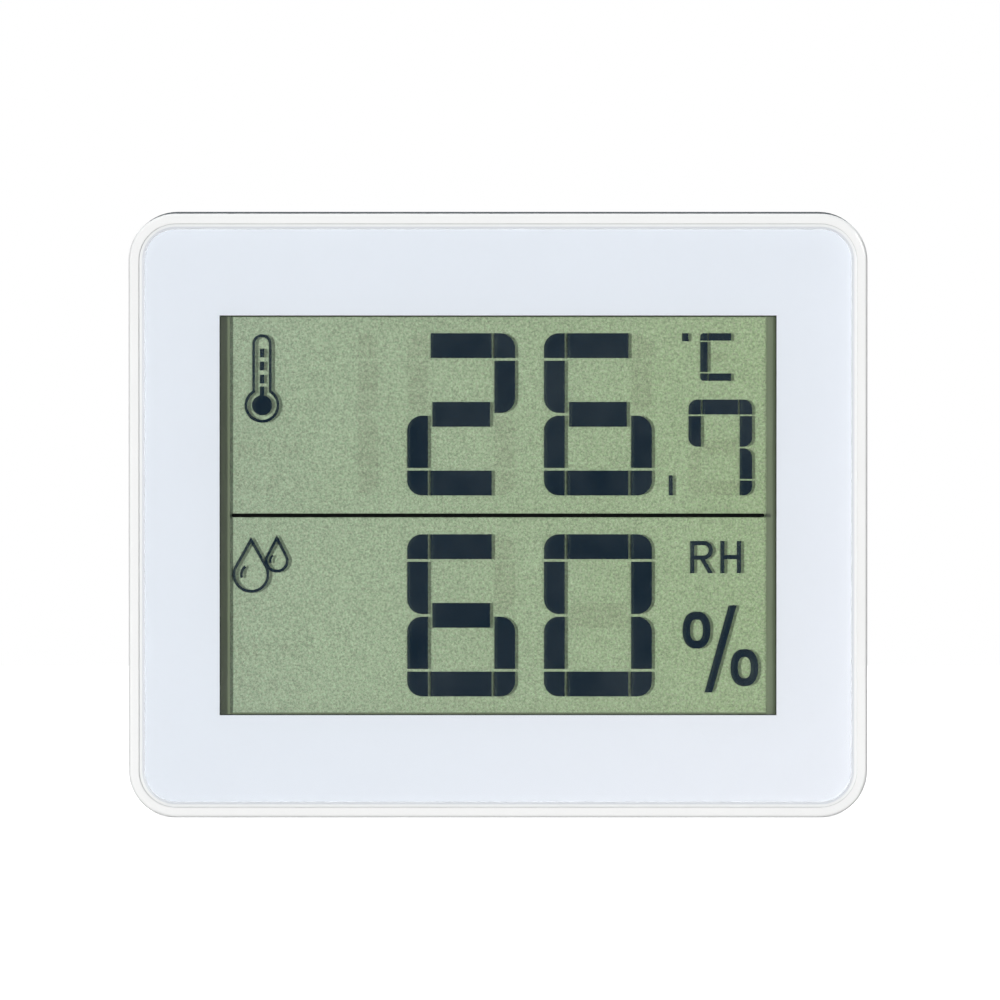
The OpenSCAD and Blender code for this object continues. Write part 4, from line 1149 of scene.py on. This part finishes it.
@dataclass
class PowerBay:
    """The sliding door, the two cells, their contacts and springs."""

    cell_edge: float = 0.6 * MM
    nub_r: float = 1.9 * MM
    nub_h: float = 0.9 * MM
    sleeve_step: float = 0.06 * MM
    spring_wire: float = 0.35 * MM
    spring_wide: float = 3.3 * MM
    spring_narrow: float = 2.1 * MM
    spring_turns: float = 5.0
    body: str = "case"

    def build(self, shop: Workshop) -> None:
        """Dresses the door and the contacts, and makes the cells and springs."""
        shop.dress("battery_door", "contact_positive", "contact_negative", "contact_bridge")
        for node, down in (("battery_left", False), ("battery_right", True)):
            made = shop.piece(node + "_cell", self.cell(node, down), self.body, "cell_sleeve", 30.0)
            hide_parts(node)
        made = shop.piece("battery_spring_pair", self.springs(), self.body, "metal_bright")
        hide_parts("battery_springs")

    def cell(self, node: str, down: bool) -> Surface:
        """A cell with rolled ends, a recessed washer and a nub, as a profile turned about its axis."""
        low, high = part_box(node)
        radius, length = (high.x - low.x) / 2, high.z - low.z
        can, lip = length - self.nub_h, 0.35 * MM
        waist, nub_end = radius - self.sleeve_step, length - 0.3 * MM
        profile = np.vstack([
            [[0.0, 0.0], [radius * 0.55, 0.0], [radius * 0.6, 0.25 * MM], [radius * 0.72, 0.25 * MM]],
            rounded((radius * 0.78, 0.0), (radius, 0.0), (radius, self.cell_edge), 6),
            [[radius, 1.2 * MM], [waist, 1.3 * MM], [waist, can - 2.2 * MM]],
            [[radius, can - 2.1 * MM], [radius, can - self.cell_edge]],
            rounded((radius, can - self.cell_edge), (radius, can), (radius - self.cell_edge, can), 6)[1:],
            [[radius * 0.74, can - lip], [self.nub_r + 0.4 * MM, can - lip]],
            [[self.nub_r + 0.1 * MM, can - lip], [self.nub_r, can], [self.nub_r, nub_end]],
            rounded((self.nub_r, nub_end), (self.nub_r, length), (self.nub_r - 0.4 * MM, length), 5)[1:],
            [[0.0, length]],
        ])
        made = revolve(profile, 96)
        centre = ((low.x + high.x) / 2, (low.y + high.y) / 2)
        if down:
            return made.upside_down().moved((*centre, high.z))
        return made.moved((*centre, low.z))

    def springs(self) -> Surface:
        """Both springs, each between a contact and the flat end of its cell."""
        left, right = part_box("battery_left"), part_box("battery_right")
        bridge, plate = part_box("contact_bridge")[1].z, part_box("contact_negative")[0].z
        left_x, right_x = ((low.x + high.x) / 2 for low, high in (left, right))
        y = (left[0].y + left[1].y) / 2
        first = self.spring(left[0].z - bridge).moved((left_x, y, bridge))
        second = self.spring(plate - right[1].z).upside_down().moved((right_x, y, plate))
        return first.joined(second)

    def spring(self, room: float) -> Surface:
        """A conical coil: angle 2 pi n s, radius from wide to narrow, height flat at both ends."""
        s = np.linspace(0.0, 1.0, 220)
        angle = TURN * self.spring_turns * s
        radius = self.spring_wide + (self.spring_narrow - self.spring_wide) * s
        rise = np.clip((s - 0.14) / 0.72, 0.0, 1.0)
        height = self.spring_wire + (room - 2 * self.spring_wire) * rise ** 1.1
        path = np.stack([radius * np.cos(angle), radius * np.sin(angle), height], axis=-1)
        return sweep(path, (0.0, 0.0, 1.0), self.spring_wire, 12)


@dataclass
class Stand:
    """The fold-out leg."""

    def build(self, shop: Workshop) -> None:
        """Dresses the leg."""
        shop.dress("stand_leg")


@dataclass
class UnitButton:
    """The button that changes the temperature unit, over its switch plunger."""

    dish: float = 0.25 * MM
    edge: float = 0.35 * MM
    pin_r: float = 1.5 * MM
    face_r: float = 2.9 * MM
    flange_t: float = 0.9 * MM
    pin_h: float = 0.4 * MM
    chamfer: float = 0.1 * MM
    body: str = "unit_button"

    def build(self, shop: Workshop) -> None:
        """Makes the dished cap and dresses the plunger."""
        shop.dress("switch_plunger")
        made = shop.piece("unit_button_cap", self.cap(), self.body, "case_white", 35.0)
        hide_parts("unit_button")

    def cap(self) -> Surface:
        """A pin, a flange and a stem whose face sinks by dish (1 - (r / R)^2)^2 towards its middle."""
        low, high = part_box("unit_button")
        plunger_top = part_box("switch_plunger")[1].y
        flange_r, height = (high.x - low.x) / 2, high.y - plunger_top
        stem_low = self.chamfer + self.flange_t
        face = np.linspace(self.face_r - self.edge, 0.05 * MM, 14)
        inner = self.face_r - self.edge
        sunk = height - self.dish * (1 - (face / inner) ** 2) ** 2
        profile = np.vstack([
            [[0.0, 0.0], [self.pin_r - self.chamfer, 0.0]],
            [[self.pin_r, self.chamfer], [self.pin_r, self.pin_h]],
            [[flange_r, self.pin_h], [flange_r, stem_low], [self.face_r, stem_low]],
            rounded((self.face_r, height - self.edge), (self.face_r, height), (inner, height), 6),
            np.stack([face, sunk], axis=-1)[1:],
            [[0.0, height - self.dish]],
        ])
        centre = ((low.x + high.x) / 2, plunger_top, (low.z + high.z) / 2)
        return revolve(profile, 72).along_y().moved(centre)


@dataclass(frozen=True)
class Sun:
    """A far light: where it stands, how strong it is, how wide it looks and whether gloss mirrors it."""

    name: str
    side: float
    height: float
    strength: float
    width: float
    glints: bool = True

    def towards(self) -> Vector:
        """The direction to the light: side degrees to the right of the camera and height degrees up."""
        side, height = math.radians(self.side), math.radians(self.height)
        level = math.cos(height)
        return Vector((math.sin(side) * level, -math.cos(side) * level, math.sin(height)))

    def place(self) -> None:
        """Puts the light in the scene."""
        data = bpy.data.lights.new(self.name, "SUN")
        data.energy = self.strength
        data.angle = math.radians(self.width)
        light = bpy.data.objects.new(self.name, data)
        light.rotation_euler = self.towards().to_track_quat("Z", "Y").to_euler()
        light.visible_glossy = self.glints
        bpy.context.scene.collection.objects.link(light)


@dataclass
class Studio:
    """A pale floor, soft lights and a camera a little above the display, straight in front of it."""

    image_px: float = 1000.0
    px_per_mm: float = 6.714
    centre_px: tuple[float, float] = (498.05, 515.7)
    distance: float = 3.0
    above_top: float = math.radians(0.85)
    sensor: float = 36.0
    overhead: float = 0.0
    canopy: float = 0.6
    around: float = 0.07
    shade_tint: Colour = (0.7, 0.88, 1.0)
    floor_r: float = 0.6
    floor_gap: float = 0.02 * MM
    floor_t: float = 5 * MM
    floor_tone: Colour = (0.86, 0.86, 0.86)
    floor_dim: Colour = (0.1, 0.1, 0.1)
    floor_glow: float = 0.02
    floor_seen: float = 0.96
    suns: tuple[Sun, ...] = (
        Sun("key", -22.0, 2.0, 2.02, 3.6),
        Sun("fill", 9.0, 2.0, 0.78, 5.0),
        Sun("back_left", -150.0, 2.2, 1.25, 4.0, False),
        Sun("back_right", 135.0, 2.2, 1.35, 4.0, False),
        Sun("top", 180.0, 85.0, 1.75, 8.0, False),
    )

    def build(self, shop: Workshop) -> None:
        """Makes the camera, the lights, the floor and the white surroundings."""
        self.camera()
        for sun in self.suns:
            sun.place()
        self.surroundings()
        self.floor(shop)

    def camera(self) -> None:
        """A long lens that frames the case's face as wide as the photograph does, and just sees its top."""
        low, high = CAD_BOX
        aside = (self.image_px / 2 - self.centre_px[0]) / self.px_per_mm * MM
        above = (self.centre_px[1] - self.image_px / 2) / self.px_per_mm * MM
        aim = Vector(((low.x + high.x) / 2 + aside, low.y, (low.z + high.z) / 2 + above))
        stand = Vector((aim.x, low.y - self.distance, high.z + self.distance * math.tan(self.above_top)))
        data = bpy.data.cameras.new("camera")
        data.sensor_width = self.sensor
        data.lens = self.sensor * (stand - aim).length / (self.image_px / self.px_per_mm * MM)
        data.clip_end = 20.0
        view = bpy.data.objects.new("camera", data)
        view.location = stand
        view.rotation_euler = (math.pi / 2 - math.atan2(stand.z - aim.z, self.distance), 0.0, 0.0)
        bpy.context.scene.collection.objects.link(view)
        bpy.context.scene.camera = view
        bpy.context.scene.view_settings.view_transform = "Standard"

    def surroundings(self) -> None:
        """White to the camera, a dim room to everything else, and a pale canopy for gloss to mirror."""
        world = bpy.data.worlds.new("room")
        world.use_nodes = True
        graph = Graph(world.node_tree)
        graph.tree.nodes.clear()
        up = graph.part(graph.add("TexCoord").outputs["Generated"], "Z")
        room = graph.spread(up, self.around, self.overhead, from_low=0.1, from_high=0.8, smooth=True)
        path = graph.add("LightPath").outputs
        high = graph.spread(up, 0.0, self.canopy, from_low=0.15, from_high=0.6, smooth=True)
        canopy = graph.product(path["Is Glossy Ray"], high)
        seen = path["Is Camera Ray"]
        strength = graph.math("MAXIMUM", graph.math("MAXIMUM", seen, room), canopy)
        tint = graph.mixed(seen, self.shade_tint, (1.0, 1.0, 1.0))
        light = graph.add("Background", {"Color": tint, "Strength": strength})
        graph.add("OutputWorld", {"Surface": light.outputs["Background"]})
        bpy.context.scene.world = world

    def floor(self, shop: Workshop) -> None:
        """A wide thin disc under the case, white to the camera and a soft glow to everything else."""
        top = CAD_BOX[0].z - self.floor_gap
        base = top - self.floor_t
        profile = np.array([[0.0, base], [self.floor_r, base], [self.floor_r, top], [0.0, top]])
        floor = shop.solid("floor", revolve(profile, 96), 30.0)
        shader = Shader("floor_paper", shop.effects)
        grain = shader.effect(Effect.SPECKLE, Cells=900.0, Spread=0.004)
        seen = shader.add("LightPath").outputs["Is Camera Ray"]
        shader.finish({
            "Base Color": shader.mixed(seen, self.floor_dim, shader.shaded(self.floor_tone, grain)),
            "Roughness": 0.9,
            "Emission Color": (1.0, 1.0, 1.0),
            "Emission Strength": shader.spread(seen, self.floor_glow, self.floor_seen),
        })
        floor.data.materials.append(shader.material)


def main() -> None:
    """Builds the studio and every sub-assembly in order."""
    logging.basicConfig(level=logging.INFO, format="%(message)s")
    bpy.context.scene.cycles.transparent_max_bounces = 24
    shop = Workshop()
    for make in (Studio, Case, FrontPanel, Display, Electronics, PowerBay, Stand, UnitButton):
        assembly = make()
        assembly.build(shop)
        log.info("%s built", type(assembly).__name__)


if __name__ == "__main__":
    main()
